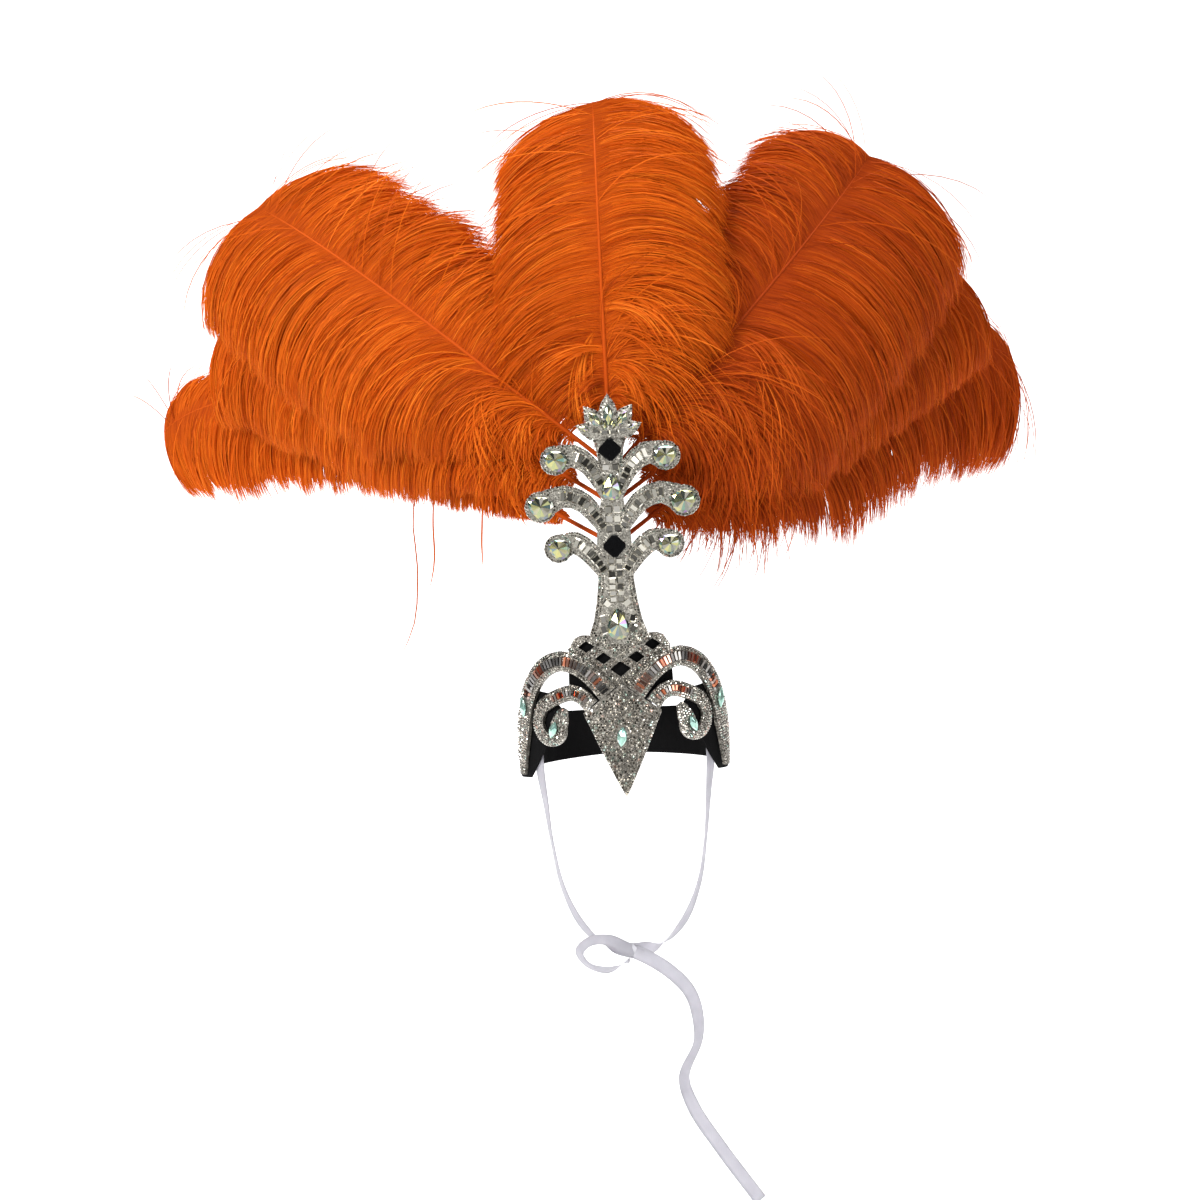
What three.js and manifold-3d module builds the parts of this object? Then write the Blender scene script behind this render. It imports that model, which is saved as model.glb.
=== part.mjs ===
// Showgirl feather headdress: a pierced silver crown front, an upright fountain-shaped spire with cut
// stones, seven ostrich plumes fanned out behind it, a black felt band and strap, and white ribbon ties.
// Millimetres, +Z up, the front faces -Y. The origin is the middle of the head at brow level.
import * as THREE from "three";
import Module from "manifold-3d";

const wasm = await Module();
wasm.setup();

// Driving dimensions
const CLEAR = 0.4; // gap between neighbouring pieces
const WALL_X = 96; // half width of the crown wall's plan ellipse
const WALL_Y = 98; // half depth of the crown wall's plan ellipse
const CROWN_THICK = 3; // foam and cloth of the crown front
const CROWN_PUFF = 1.4; // how much its outer face is padded
const FELT_THICK = 2;
const LATTICE_THICK = 2.8;
const SPIRE_THICK = 4;
const SPIRE_RIDGE = 0.8; // padding along the middle of the arms and column
const PEAK_HALF_WIDTH = 31.7;
const PEAK_SHOULDER_Z = 71;
const PEAK_TOP_Z = 95;
const PEAK_EDGE = 1; // half height of the peak's blunt side corners
const HOLDER_HALF_WIDTH = 8.2;
const HOLDER_DEPTH = 14;
const HOLDER_BOTTOM_Z = 202;
const HOLDER_TOP_Z = 300;
const QUILL_ROOT_RADIUS = 2.2;
const QUILL_TIP_RADIUS = 0.9;
const QUILL_SIDES = 4;
const LOCKS_PER_SIDE = 7;
const LOCK_WIDTH = 60;
const BARE_SHARE = 0.13; // share of a quill without barbs
const BARB_HOOK = 58; // degrees that a barb has bent back at its end
const WELD = 0.25; // details smaller than this are merged where locks meet
const RIBBON_WIDTH = 12;
const RIBBON_THICK = 0.9;

const SPIRE_BACK_Y = 0.1 - WALL_Y; // the lattice's face lies CLEAR behind it
const SPIRE_FRONT_Y = SPIRE_BACK_Y - SPIRE_THICK;

const vec = (x, y, z) => new THREE.Vector3(x, y, z);
const radians = THREE.MathUtils.degToRad;
const lerp = THREE.MathUtils.lerp;

function finish(color, roughness, metalness) {
  return new THREE.MeshStandardMaterial({ color, roughness, metalness, side: THREE.DoubleSide });
}
const FINISHES = {
  silver: [0xb9b8b6, 0.35, 0.7],
  felt: [0x0d0d0e, 0.95, 0],
  crystal: [0xdfeaf0, 0.08, 0.1],
  jet: [0x050506, 0.12, 0.1],
  mint: [0xbfe8da, 0.08, 0.1],
  plumeBright: [0xdb5a14, 0.8, 0],
  plumeDeep: [0xb4480c, 0.8, 0],
  satin: [0xf1efee, 0.45, 0],
  holder: [0x8f8f92, 0.6, 0.2],
};

const headdress = new THREE.Group();
headdress.name = "showgirl_feather_headdress";

function add(name, geometry, finishName) {
  const mesh = new THREE.Mesh(geometry, finish(...FINISHES[finishName]));
  mesh.name = name;
  headdress.add(mesh);
}

// A closed mesh from points and triangles, turned so that its faces look out.
function closedMesh(points, triangles) {
  let volume = 0;
  for (const [a, b, c] of triangles) {
    volume += points[a].dot(vec(0, 0, 0).crossVectors(points[b], points[c]));
  }
  const outward = volume < 0 ? triangles.map(([a, b, c]) => [a, c, b]) : triangles;
  const geometry = new THREE.BufferGeometry();
  geometry.setAttribute("position", new THREE.Float32BufferAttribute(points.flatMap((p) => p.toArray()), 3));
  geometry.setIndex(outward.flat());
  return geometry;
}

// A wall with two faces and four rims: place(u, v, side) is its point at u and v from 0 to 1 on the inner
// face (side 0) or the outer face (side 1).
function wall(uSteps, vSteps, place) {
  const points = [];
  const triangles = [];
  const id = (i, j, side) => (side * (uSteps + 1) + i) * (vSteps + 1) + j;
  const quad = (a, b, c, d) => triangles.push([a, b, c], [a, c, d]);
  for (const side of [0, 1]) {
    for (let i = 0; i <= uSteps; i++) {
      for (let j = 0; j <= vSteps; j++) points.push(place(i / uSteps, j / vSteps, side));
    }
  }
  for (let i = 0; i < uSteps; i++) {
    for (let j = 0; j < vSteps; j++) {
      quad(id(i, j, 1), id(i + 1, j, 1), id(i + 1, j + 1, 1), id(i, j + 1, 1));
      quad(id(i, j, 0), id(i, j + 1, 0), id(i + 1, j + 1, 0), id(i + 1, j, 0));
    }
    quad(id(i, 0, 0), id(i + 1, 0, 0), id(i + 1, 0, 1), id(i, 0, 1));
    quad(id(i, vSteps, 0), id(i, vSteps, 1), id(i + 1, vSteps, 1), id(i + 1, vSteps, 0));
  }
  for (let j = 0; j < vSteps; j++) {
    quad(id(0, j, 0), id(0, j, 1), id(0, j + 1, 1), id(0, j + 1, 0));
    quad(id(uSteps, j, 0), id(uSteps, j + 1, 0), id(uSteps, j + 1, 1), id(uSteps, j, 1));
  }
  return closedMesh(points, triangles);
}

// A body through rings of points, closed by a fan over the first ring and the last ring or to a tip point.
function loft(rings, tip) {
  const count = rings[0].length;
  const points = rings.flat();
  const triangles = [];
  const middle = (ring) => ring.reduce((sum, p) => sum.add(p), vec(0, 0, 0)).divideScalar(count);
  for (let r = 0; r + 1 < rings.length; r++) {
    for (let k = 0; k < count; k++) {
      const next = (k + 1) % count;
      const low = r * count;
      const high = low + count;
      triangles.push([low + k, low + next, high + next], [low + k, high + next, high + k]);
    }
  }
  const startMiddle = points.push(middle(rings[0])) - 1;
  const endMiddle = points.push(tip ?? middle(rings.at(-1))) - 1;
  const last = (rings.length - 1) * count;
  for (let k = 0; k < count; k++) {
    const next = (k + 1) % count;
    triangles.push([startMiddle, next, k], [endMiddle, last + k, last + next]);
  }
  return closedMesh(points, triangles);
}

function solid(geometry) {
  const vertProperties = new Float32Array(geometry.getAttribute("position").array);
  const triVerts = new Uint32Array(geometry.getIndex().array);
  const mesh = new wasm.Mesh({ numProp: 3, vertProperties, triVerts });
  mesh.merge();
  return new wasm.Manifold(mesh);
}

function geometryOf(manifold) {
  const mesh = manifold.getMesh();
  const geometry = new THREE.BufferGeometry();
  geometry.setAttribute("position", new THREE.Float32BufferAttribute(mesh.vertProperties, 3));
  geometry.setIndex([...mesh.triVerts]);
  return geometry;
}

function fuse(geometries) {
  return geometries.map(solid).reduce((sum, part) => sum.add(part));
}

function cut(manifold, geometries) {
  return geometries.map(solid).reduce((rest, part) => rest.subtract(part), manifold);
}

// A value from rows of a table, read in a straight line between the two rows around at.
function readTable(rows, key, at, value) {
  const high = rows.findIndex((row) => row[key] >= at);
  if (high <= 0) return (high === 0 ? rows[0] : rows.at(-1))[value];
  const [a, b] = [rows[high - 1], rows[high]];
  return lerp(a[value], b[value], (at - a[key]) / (b[key] - a[key]));
}

// The crown wall: its outward direction at x, and the point seen from the front at x and z, moved out by out.
function wallNormal(x) {
  const y = -WALL_Y * Math.sqrt(1 - (x / WALL_X) ** 2);
  return vec(x / WALL_X ** 2, y / WALL_Y ** 2, 0).normalize();
}

function onWall(x, z, out) {
  const y = -WALL_Y * Math.sqrt(1 - (x / WALL_X) ** 2);
  return vec(x, y, z).addScaledVector(wallNormal(x), out);
}

// A smooth path through rows of x, z and width; the width rides in the y of its points.
function pathOf(rows) {
  return new THREE.CatmullRomCurve3(rows.map((row) => vec(row.x, row.width, row.z)));
}

const mirrored = (rows) => rows.map((row) => ({ ...row, x: -row.x }));

// A padded band along a path on the crown wall.
function wallBand(rows, steps, inset = 0) {
  const path = pathOf(rows);
  const eps = 1e-3;
  return wall(steps, 3, (u, v, side) => {
    const here = path.getPoint(u);
    const before = path.getPoint(Math.max(0, u - eps));
    const after = path.getPoint(Math.min(1, u + eps));
    const along = onWall(after.x, after.z, 0).sub(onWall(before.x, before.z, 0)).normalize();
    const normal = wallNormal(here.x);
    const across = vec(0, 0, 0).crossVectors(normal, along).normalize();
    const share = 2 * v - 1;
    const out = side ? CROWN_THICK + CROWN_PUFF * (1 - share ** 2) - inset : inset;
    return onWall(here.x, here.z, 0).addScaledVector(across, share * here.y / 2).addScaledVector(normal, out);
  });
}

// Peak: the pointed shield over the brow, with its two upper edges meeting at the middle of the crown.
const peak = wall(12, 4, (u, v, side) => {
  const share = 2 * u - 1;
  const x = share * PEAK_HALF_WIDTH;
  const low = PEAK_SHOULDER_Z * Math.abs(share) ** 1.06 - PEAK_EDGE * Math.abs(share);
  const high = lerp(PEAK_TOP_Z, PEAK_SHOULDER_Z + PEAK_EDGE, Math.abs(share));
  const puff = CROWN_PUFF * (1 - (2 * v - 1) ** 2) * (1 - share ** 2);
  return onWall(x, lerp(low, high, v), side * (CROWN_THICK + puff));
});
add("v_peak", peak, "silver");

// Arches: one padded band on each side from the peak's upper edge over the temple and down to a pointed tail.
const ARCH = [
  { x: 11.4, z: 87.3, width: 17 },
  { x: 22, z: 101, width: 17 },
  { x: 35, z: 112, width: 17 },
  { x: 50, z: 116.4, width: 17 },
  { x: 63, z: 111.5, width: 17 },
  { x: 73, z: 99, width: 18 },
  { x: 79.5, z: 82, width: 20 },
  { x: 83, z: 62, width: 21 },
  { x: 85, z: 42, width: 17 },
  { x: 86, z: 20, width: 8 },
];
const ARCH_STEPS = 18;
add("arch_right", wallBand(ARCH, ARCH_STEPS), "silver");
add("arch_left", wallBand(mirrored(ARCH), ARCH_STEPS), "silver");

// Scrolls: a band on each side from the peak's upper edge, below the arch, wound into a volute that a
// drop-shaped pad nearly fills.
const SCROLL_ARM = [
  { x: 25.9, z: 77.6, width: 13.5 },
  { x: 32, z: 85.5, width: 13.5 },
  { x: 41, z: 89.5, width: 13.5 },
  { x: 51.5, z: 87, width: 13 },
];
const VOLUTE = { x: 56.5, z: 58.5, startAngle: 62, turn: 300, startRadius: 23, endRadius: 7, points: 10 };
const voluteRows = Array.from({ length: VOLUTE.points }, (_, k) => {
  const share = k / (VOLUTE.points - 1);
  const angle = radians(VOLUTE.startAngle - VOLUTE.turn * share);
  const radius = lerp(VOLUTE.endRadius, VOLUTE.startRadius, (1 - share) ** 3);
  const x = VOLUTE.x + radius * Math.cos(angle) * 0.85;
  return { x, z: VOLUTE.z + radius * Math.sin(angle), width: lerp(12.5, 7, share) };
});
const SCROLL = [...SCROLL_ARM, ...voluteRows];
const SCROLL_STEPS = 19;
const VOLUTE_PAD = [
  { x: 47.5, z: 76, width: 5 },
  { x: 50, z: 71, width: 12 },
  { x: 52.5, z: 64, width: 16 },
  { x: 55, z: 57, width: 16 },
  { x: 57, z: 50, width: 10 },
];
const PAD_STEPS = 5;
const PAD_INSET = 0.5; // the pad is this much thinner than the band on each face
function scroll(bandRows, padRows) {
  const parts = [wallBand(bandRows, SCROLL_STEPS), wallBand(padRows, PAD_STEPS, PAD_INSET)];
  return geometryOf(fuse(parts).simplify(WELD));
}
add("scroll_right", scroll(SCROLL, VOLUTE_PAD), "silver");
add("scroll_left", scroll(mirrored(SCROLL), mirrored(VOLUTE_PAD)), "silver");

// Lattice collar: a curved plate behind the arches with two lobes, cut through with five diamonds.
const LATTICE = [
  { x: 0, low: 90, high: 131 },
  { x: 14, low: 97, high: 133 },
  { x: 22, low: 103, high: 136.5 },
  { x: 31, low: 110, high: 138 },
  { x: 38, low: 116, high: 135 },
  { x: 43, low: 121, high: 127 },
];
const DIAMONDS = [
  { x: 0, z: 107.8, halfWidth: 9, halfHeight: 6.7 },
  { x: -14, z: 117.2, halfWidth: 7, halfHeight: 5 },
  { x: 14, z: 117.2, halfWidth: 7, halfHeight: 5 },
  { x: -28, z: 127.4, halfWidth: 7, halfHeight: 5 },
  { x: 28, z: 127.4, halfWidth: 7, halfHeight: 5 },
];
const LATTICE_OUT = -0.5;
const latticePlate = wall(16, 2, (u, v, side) => {
  const x = (2 * u - 1) * LATTICE.at(-1).x;
  const low = readTable(LATTICE, "x", Math.abs(x), "low");
  const high = readTable(LATTICE, "x", Math.abs(x), "high");
  return onWall(x, lerp(low, high, v), LATTICE_OUT - LATTICE_THICK * (1 - side));
});
const DIAMOND_DEPTH = 60;
const diamondCutters = DIAMONDS.map((hole) => {
  const cutter = new THREE.CylinderGeometry(1, 1, DIAMOND_DEPTH, 4);
  cutter.scale(hole.halfWidth, 1, hole.halfHeight);
  return cutter.translate(hole.x, -WALL_Y, hole.z);
});
add("lattice_collar", geometryOf(cut(solid(latticePlate), diamondCutters)), "silver");

// Lattice lining: black felt close behind the lattice, inside its outline, seen through the diamonds.
const LINING_THICK = 1.5;
const LINING_INSET = 2;
const LINING_OUT = LATTICE_OUT - LATTICE_THICK - CLEAR;
const lining = wall(14, 1, (u, v, side) => {
  const x = (2 * u - 1) * (LATTICE.at(-1).x - LINING_INSET);
  const low = readTable(LATTICE, "x", Math.abs(x), "low") + LINING_INSET / 2;
  const high = readTable(LATTICE, "x", Math.abs(x), "high") - LINING_INSET;
  return onWall(x, lerp(low, high, v), LINING_OUT - LINING_THICK * (1 - side));
});
add("lattice_lining", lining, "felt");

// Crown strap: black felt behind the lattice and the arches' feet, carried over the head to the band's back.
const STRAP = [
  { y: -92.2, z: 84, half: 44 },
  { y: -92.2, z: 106, half: 44 },
  { y: -88.5, z: 116, half: 43 },
  { y: -78, z: 120.5, half: 40 },
  { y: -40, z: 122, half: 34 },
  { y: 0, z: 119, half: 31 },
  { y: 45, z: 107, half: 30 },
  { y: 82, z: 88, half: 30 },
  { y: 96.6, z: 66, half: 28 },
  { y: 95.3, z: 40, half: 27 },
];
const strapPath = new THREE.CatmullRomCurve3(STRAP.map((row) => vec(row.half, row.y, row.z)));
const strap = wall(14, 4, (u, v, side) => {
  const here = strapPath.getPoint(u);
  const along = strapPath.getTangent(u);
  const normal = vec(0, -along.z, along.y).normalize();
  const x = (2 * v - 1) * here.x;
  const sag = WALL_Y * (1 - Math.sqrt(1 - (x / WALL_X) ** 2));
  return vec(x, here.y, here.z).addScaledVector(normal, -sag - FELT_THICK * (1 - side));
});
add("crown_strap", strap, "felt");

// Head band: black felt round the head from temple to temple, taller in front where it backs arch and scroll.
const BAND = [
  { angle: 33, low: 60, high: 76, reach: 1 },
  { angle: 42, low: 52, high: 90, reach: 1 },
  { angle: 50, low: 32, high: 92, reach: 1 },
  { angle: 58, low: 17, high: 87, reach: 1 },
  { angle: 75, low: 16, high: 75, reach: 0.97 },
  { angle: 105, low: 20, high: 68, reach: 0.93 },
  { angle: 180, low: 26, high: 66, reach: 0.95 },
];
const BAND_OUT = -0.6;
const band = wall(34, 1, (u, v, side) => {
  const turn = lerp(BAND[0].angle, 360 - BAND[0].angle, u);
  const fold = Math.min(turn, 360 - turn);
  const out = BAND_OUT - FELT_THICK * (1 - side);
  const reach = readTable(BAND, "angle", fold, "reach");
  const z = lerp(readTable(BAND, "angle", fold, "low"), readTable(BAND, "angle", fold, "high"), v);
  const angle = radians(turn);
  return vec(reach * (WALL_X + out) * Math.sin(angle), -reach * (WALL_Y + out) * Math.cos(angle), z);
});
add("head_band", band, "felt");

// Spire: a flat upright plate, a column with a pointed foot and three pairs of arms that end in round pads.
const COLUMN = [
  { z: 114, half: 1.5 },
  { z: 128, half: 19.5 },
  { z: 138, half: 24.4 },
  { z: 149, half: 20.4 },
  { z: 164, half: 17.4 },
  { z: 183, half: 15 },
  { z: 200, half: 15.5 },
  { z: 222, half: 14 },
  { z: 250, half: 9.6 },
  { z: 275, half: 9.6 },
  { z: 293, half: 11.5 },
  { z: 305, half: 15.5 },
];
const columnRise = COLUMN.length - 1;
const column = wall(2 * columnRise, 2, (u, v, side) => {
  const z = COLUMN[Math.floor(u * columnRise)].z;
  const next = COLUMN[Math.min(columnRise, Math.floor(u * columnRise) + 1)].z;
  const height = lerp(z, next, u * columnRise - Math.floor(u * columnRise));
  const share = 2 * v - 1;
  const y = side ? SPIRE_FRONT_Y - SPIRE_RIDGE * (1 - Math.abs(share)) : SPIRE_BACK_Y;
  return vec(share * readTable(COLUMN, "z", height, "half"), y, height);
});
const ARMS = {
  top: [
    { x: 3, z: 251, width: 10 },
    { x: 11, z: 268, width: 14 },
    { x: 20, z: 281.5, width: 17 },
    { x: 33, z: 288.5, width: 19.5 },
    { x: 46.6, z: 285, width: 23 },
  ],
  middle: [
    { x: 3, z: 218, width: 11 },
    { x: 14, z: 237, width: 15 },
    { x: 27, z: 250.5, width: 17.5 },
    { x: 43, z: 254.5, width: 19 },
    { x: 60.5, z: 246.5, width: 23 },
  ],
  bottom: [
    { x: 5, z: 184, width: 13 },
    { x: 15, z: 199, width: 16 },
    { x: 24, z: 209.5, width: 18 },
    { x: 34, z: 215.5, width: 19 },
    { x: 47, z: 211, width: 22 },
  ],
};
const ARM_STEPS = 7;
const PAD_SIDES = 12;
const PAD_RAISE = 1;
const PADS = { top: 12.6, middle: 13.4, bottom: 12.2 };

function arm(rows) {
  const path = pathOf(rows);
  return wall(ARM_STEPS, 2, (u, v, side) => {
    const here = path.getPoint(u);
    const along = path.getTangent(u).setY(0).normalize();
    const share = 2 * v - 1;
    const y = side ? SPIRE_FRONT_Y - SPIRE_RIDGE * (1 - Math.abs(share)) : SPIRE_BACK_Y;
    return vec(here.x + along.z * share * here.y / 2, y, here.z - along.x * share * here.y / 2);
  });
}

function pad(end, radius) {
  const disc = new THREE.CylinderGeometry(radius, radius, SPIRE_THICK + PAD_RAISE, PAD_SIDES);
  return disc.translate(end.x, SPIRE_BACK_Y - (SPIRE_THICK + PAD_RAISE) / 2, end.z);
}
const spireParts = [column];
for (const [level, rows] of Object.entries(ARMS)) {
  for (const side of [rows, mirrored(rows)]) spireParts.push(arm(side), pad(side.at(-1), PADS[level]));
}
add("spire", geometryOf(fuse(spireParts)), "silver");

// Finial: a lotus of five keeled petals on a small fan-shaped foot, in front of the top of the column.
const FINIAL = { z: 302, backY: SPIRE_FRONT_Y - SPIRE_RIDGE - CLEAR, footRadius: 9, footThick: 2.6 };
const PETALS = [
  { tilt: 0, length: 37, half: 9 },
  { tilt: -37, length: 34, half: 8.6 },
  { tilt: 37, length: 34, half: 8.6 },
  { tilt: -68, length: 30, half: 7.6 },
  { tilt: 68, length: 30, half: 7.6 },
];
const PETAL_ROWS = [
  { along: 0.05, width: 0.35, keel: 2.2 },
  { along: 0.5, width: 1, keel: 4 },
  { along: 0.78, width: 0.62, keel: 3 },
];

function petal({ tilt, length, half }) {
  const up = vec(Math.sin(radians(tilt)), 0, Math.cos(radians(tilt)));
  const across = vec(up.z, 0, -up.x);
  const at = (along, side, front) =>
    vec(0, FINIAL.backY - front, FINIAL.z).addScaledVector(up, along * length).addScaledVector(across, side);
  const rings = PETAL_ROWS.map((row) => {
    const wide = row.width * half;
    return [
      at(row.along, -wide, 0.8),
      at(row.along, 0, row.keel),
      at(row.along, wide, 0.8),
      at(row.along, 0, 0),
    ];
  });
  return loft(rings, at(1, 0, 1));
}
const foot = new THREE.CylinderGeometry(FINIAL.footRadius, FINIAL.footRadius, FINIAL.footThick, 10);
foot.translate(0, FINIAL.backY - FINIAL.footThick / 2, FINIAL.z + FINIAL.footRadius);
add("finial_lotus", geometryOf(fuse([foot, ...PETALS.map(petal)])), "silver");

// Cut stones: a flat back, a girdle, a ring of crown facets and a table, in one of four outlines.
const STONE_SHAPES = {
  round: { sides: 8, outline: (c, s) => [c, s] },
  pear: { sides: 8, outline: (c, s) => [c * (1 - 0.35 * s), s] },
  marquise: { sides: 8, outline: (c, s) => [c * Math.abs(c), s] },
  square: { sides: 8, outline: (c, s) => [c, s] },
};
const GIRDLE_SHARE = 0.3;
const TABLE_SHARE = 0.55;

function stone(shape, halfWidth, halfHeight, depth) {
  const { sides, outline } = STONE_SHAPES[shape];
  const ring = (size, front) =>
    Array.from({ length: sides }, (_, k) => {
      const even = (k + (shape === "square" ? 0 : 0.5)) / sides;
      const corner = (Math.floor(k / 2) + (k % 2 ? 0.5 : -0.5) * 0.24) / 4;
      const angle = 2 * Math.PI * (shape === "square" ? corner : even);
      const [x, z] = outline(Math.cos(angle), Math.sin(angle));
      return vec(size * halfWidth * x, -front, size * halfHeight * z);
    });
  return loft([ring(0.94, 0), ring(1, depth * GIRDLE_SHARE), ring(TABLE_SHARE, depth)]);
}

const STONE_SEAT_Y = SPIRE_FRONT_Y - PAD_RAISE - CLEAR;
const ARM_STONE_INSET = 3.8; // from a pad's edge
const ARM_STONE_DEPTH = 4.4;
const ARM_STONE_TILT = 62; // degrees from upright
const MARQUISE_DEPTH = 3.4;
for (const [level, rows] of Object.entries(ARMS)) {
  const end = rows.at(-1);
  for (const [sideName, side] of [["left", -1], ["right", 1]]) {
    const radius = PADS[level] - ARM_STONE_INSET;
    const cutStone = stone("pear", radius * 0.95, radius * 1.15, ARM_STONE_DEPTH);
    cutStone.rotateY(radians(side * ARM_STONE_TILT));
    add(`arm_stone_${level}_${sideName}`, cutStone.translate(side * end.x, STONE_SEAT_Y, end.z), "crystal");
  }
}
const SPIRE_STONES = [
  { name: "drop_stone", shape: "pear", z: 260.4, half: [8, 11], depth: 5, look: "crystal" },
  { name: "base_stone", shape: "pear", z: 145.5, half: [8.8, 13], depth: 5.4, look: "crystal" },
  { name: "black_square_upper", shape: "square", z: 291.5, half: [9.6, 9.6], depth: 3, look: "jet" },
  { name: "black_square_lower", shape: "square", z: 210.8, half: [9.6, 9.6], depth: 3, look: "jet" },
];
for (const { name, shape, z, half, depth, look } of SPIRE_STONES) {
  add(name, stone(shape, ...half, depth).translate(0, STONE_SEAT_Y, z), look);
}

// Marquise stones lie on the crown wall: one on the peak, one on each arch and one in each volute.
const MARQUISES = [
  { name: "peak_marquise", x: -1.5, z: 51, halfWidth: 4.2, halfHeight: 8.5, tilt: 8 },
  { name: "arch_marquise_left", x: -80.5, z: 78, halfWidth: 4.6, halfHeight: 9, tilt: -8 },
  { name: "arch_marquise_right", x: 80.5, z: 78, halfWidth: 4.6, halfHeight: 9, tilt: 8 },
  { name: "scroll_marquise_left", x: -56.5, z: 58.5, halfWidth: 4, halfHeight: 7.5, tilt: 25 },
  { name: "scroll_marquise_right", x: 56.5, z: 58.5, halfWidth: 4, halfHeight: 7.5, tilt: -25 },
];
for (const { name, x, z, halfWidth, halfHeight, tilt } of MARQUISES) {
  const normal = wallNormal(x);
  const level = vec(-normal.y, normal.x, 0);
  const turned = stone("marquise", halfWidth, halfHeight, MARQUISE_DEPTH).rotateY(radians(tilt));
  const seat = new THREE.Matrix4().makeBasis(level, normal.clone().negate(), vec(0, 0, 1));
  seat.setPosition(onWall(x, z, CROWN_THICK + CROWN_PUFF + CLEAR));
  add(name, turned.applyMatrix4(seat), "mint");
}

// Plumes: a curved quill with locks of barbs along both sides. Lean and turn are degrees from upright
// towards +X, back and curl degrees towards +Y. Left and right are the longest barbs on each side, and
// slantLeft and slantRight their angle to the quill at its root. Sag is how far barbs hang, full the place
// along the quill where they reach their length, and tip the share of it that those at the quill's tip have.
const PLUME_COLUMNS = [
  "name", "x", "z", "length", "lean", "turn", "back", "curl",
  "left", "right", "slantLeft", "slantRight", "sag", "full", "tip",
];
const PLUMES = [
  ["centre", 0, 295, 345, 0, 1, 3, 62, 124, 136, 74, 46, 0.5, 0.5, 0.9],
  ["upper_left", -4, 283, 442, -48.5, -6, 13, 40, 150, 130, 34, 72, 0.45, 0.5, 0.9],
  ["upper_right", 4, 277, 422, 43, -8, 14.5, 40, 120, 168, 48, 42, 0.45, 0.5, 0.9],
  ["middle_left", -4, 250, 464, -55, -28, 23, 25, 115, 75, 36, 66, 0.6, 0.55, 0.9],
  ["middle_right", 4, 250, 460, 55, 12, 24.5, 25, 80, 118, 66, 36, 0.6, 0.55, 0.9],
  ["lower_left", -4, 215, 600, -58, -62, 33, 16, 114, 85, 34, 100, 0.8, 0.75, 0.7],
  ["lower_right", 4, 215, 577, 54, 56, 34, 16, 85, 148, 100, 30, 0.8, 0.36, 0.85],
].map((row) => Object.fromEntries(row.map((value, k) => [PLUME_COLUMNS[k], value])));
const QUILL_ROOT_Y = -88;
const QUILL_POINTS = 48;
const BARB_POINTS = 12;
const BARB_OPENING = 22; // degrees that barbs stand wider at the quill's tip than at its root
const BARB_END_ANGLE = 130; // degrees from the quill at a barb's end
const BARB_BEND = 30; // degrees that a barb bends at least
const LOCK_ROWS = [
  { along: 0, width: 0.75, thick: 2.6 },
  { along: 0.4, width: 1, thick: 3 },
  { along: 0.78, width: 0.7, thick: 2.2 },
];

function leanAt(plume, t) {
  return radians(plume.lean + plume.turn * t ** 3);
}

function quillPath(plume) {
  const points = [vec(plume.x, QUILL_ROOT_Y, plume.z)];
  for (let k = 0; k < QUILL_POINTS; k++) {
    const t = (k + 0.5) / QUILL_POINTS;
    const lean = leanAt(plume, t);
    const pitch = radians(plume.back + plume.curl * t ** 3);
    const step = vec(Math.sin(lean) * Math.cos(pitch), Math.sin(pitch), Math.cos(lean) * Math.cos(pitch));
    points.push(points.at(-1).clone().addScaledVector(step, plume.length / QUILL_POINTS));
  }
  return new THREE.CatmullRomCurve3(points);
}

function barbShare(plume, t) {
  const grown = THREE.MathUtils.clamp((t - BARE_SHARE / 2) / (plume.full - BARE_SHARE / 2), 0, 1);
  return grown ** 0.75 * lerp(1, plume.tip, t ** 6);
}

// The way of one barb from its place t on the quill, to the left (side -1) or the right (side 1).
function barbPath(plume, path, t, side) {
  const lean = leanAt(plume, t);
  const along = vec(Math.sin(lean), 0, Math.cos(lean));
  const across = vec(along.z, 0, -along.x).multiplyScalar(side);
  const length = (side > 0 ? plume.right : plume.left) * barbShare(plume, t);
  const startAngle = (side > 0 ? plume.slantRight : plume.slantLeft) + BARB_OPENING * t;
  const endAngle = Math.max(BARB_END_ANGLE, startAngle + BARB_BEND);
  const points = [path.getPoint(t)];
  for (let k = 0; k < BARB_POINTS; k++) {
    const u = (k + 0.5) / BARB_POINTS;
    const angle = radians(lerp(startAngle, endAngle, u));
    const hook = radians(BARB_HOOK * u ** 3);
    const step = vec(0, 0, -plume.sag * lerp(0.3, 1, u));
    step.addScaledVector(along, Math.cos(angle)).addScaledVector(across, Math.sin(angle));
    step.setLength(Math.cos(hook)).setY(Math.sin(hook));
    points.push(points.at(-1).clone().addScaledVector(step, length / BARB_POINTS));
  }
  return new THREE.CatmullRomCurve3(points);
}

function lock(way, width, shift) {
  const rings = LOCK_ROWS.map((row) => {
    const middle = way.getPoint(row.along).add(vec(0, shift, 0));
    const along = way.getTangent(row.along);
    const across = vec(along.z, 0, -along.x).normalize().multiplyScalar(width * row.width / 2);
    const front = vec(0, -row.thick / 2, 0);
    return [
      middle.clone().add(across),
      middle.clone().add(front),
      middle.clone().sub(across),
      middle.clone().sub(front),
    ];
  });
  return loft(rings, way.getPoint(1).add(vec(0, shift, 0)));
}

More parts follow.
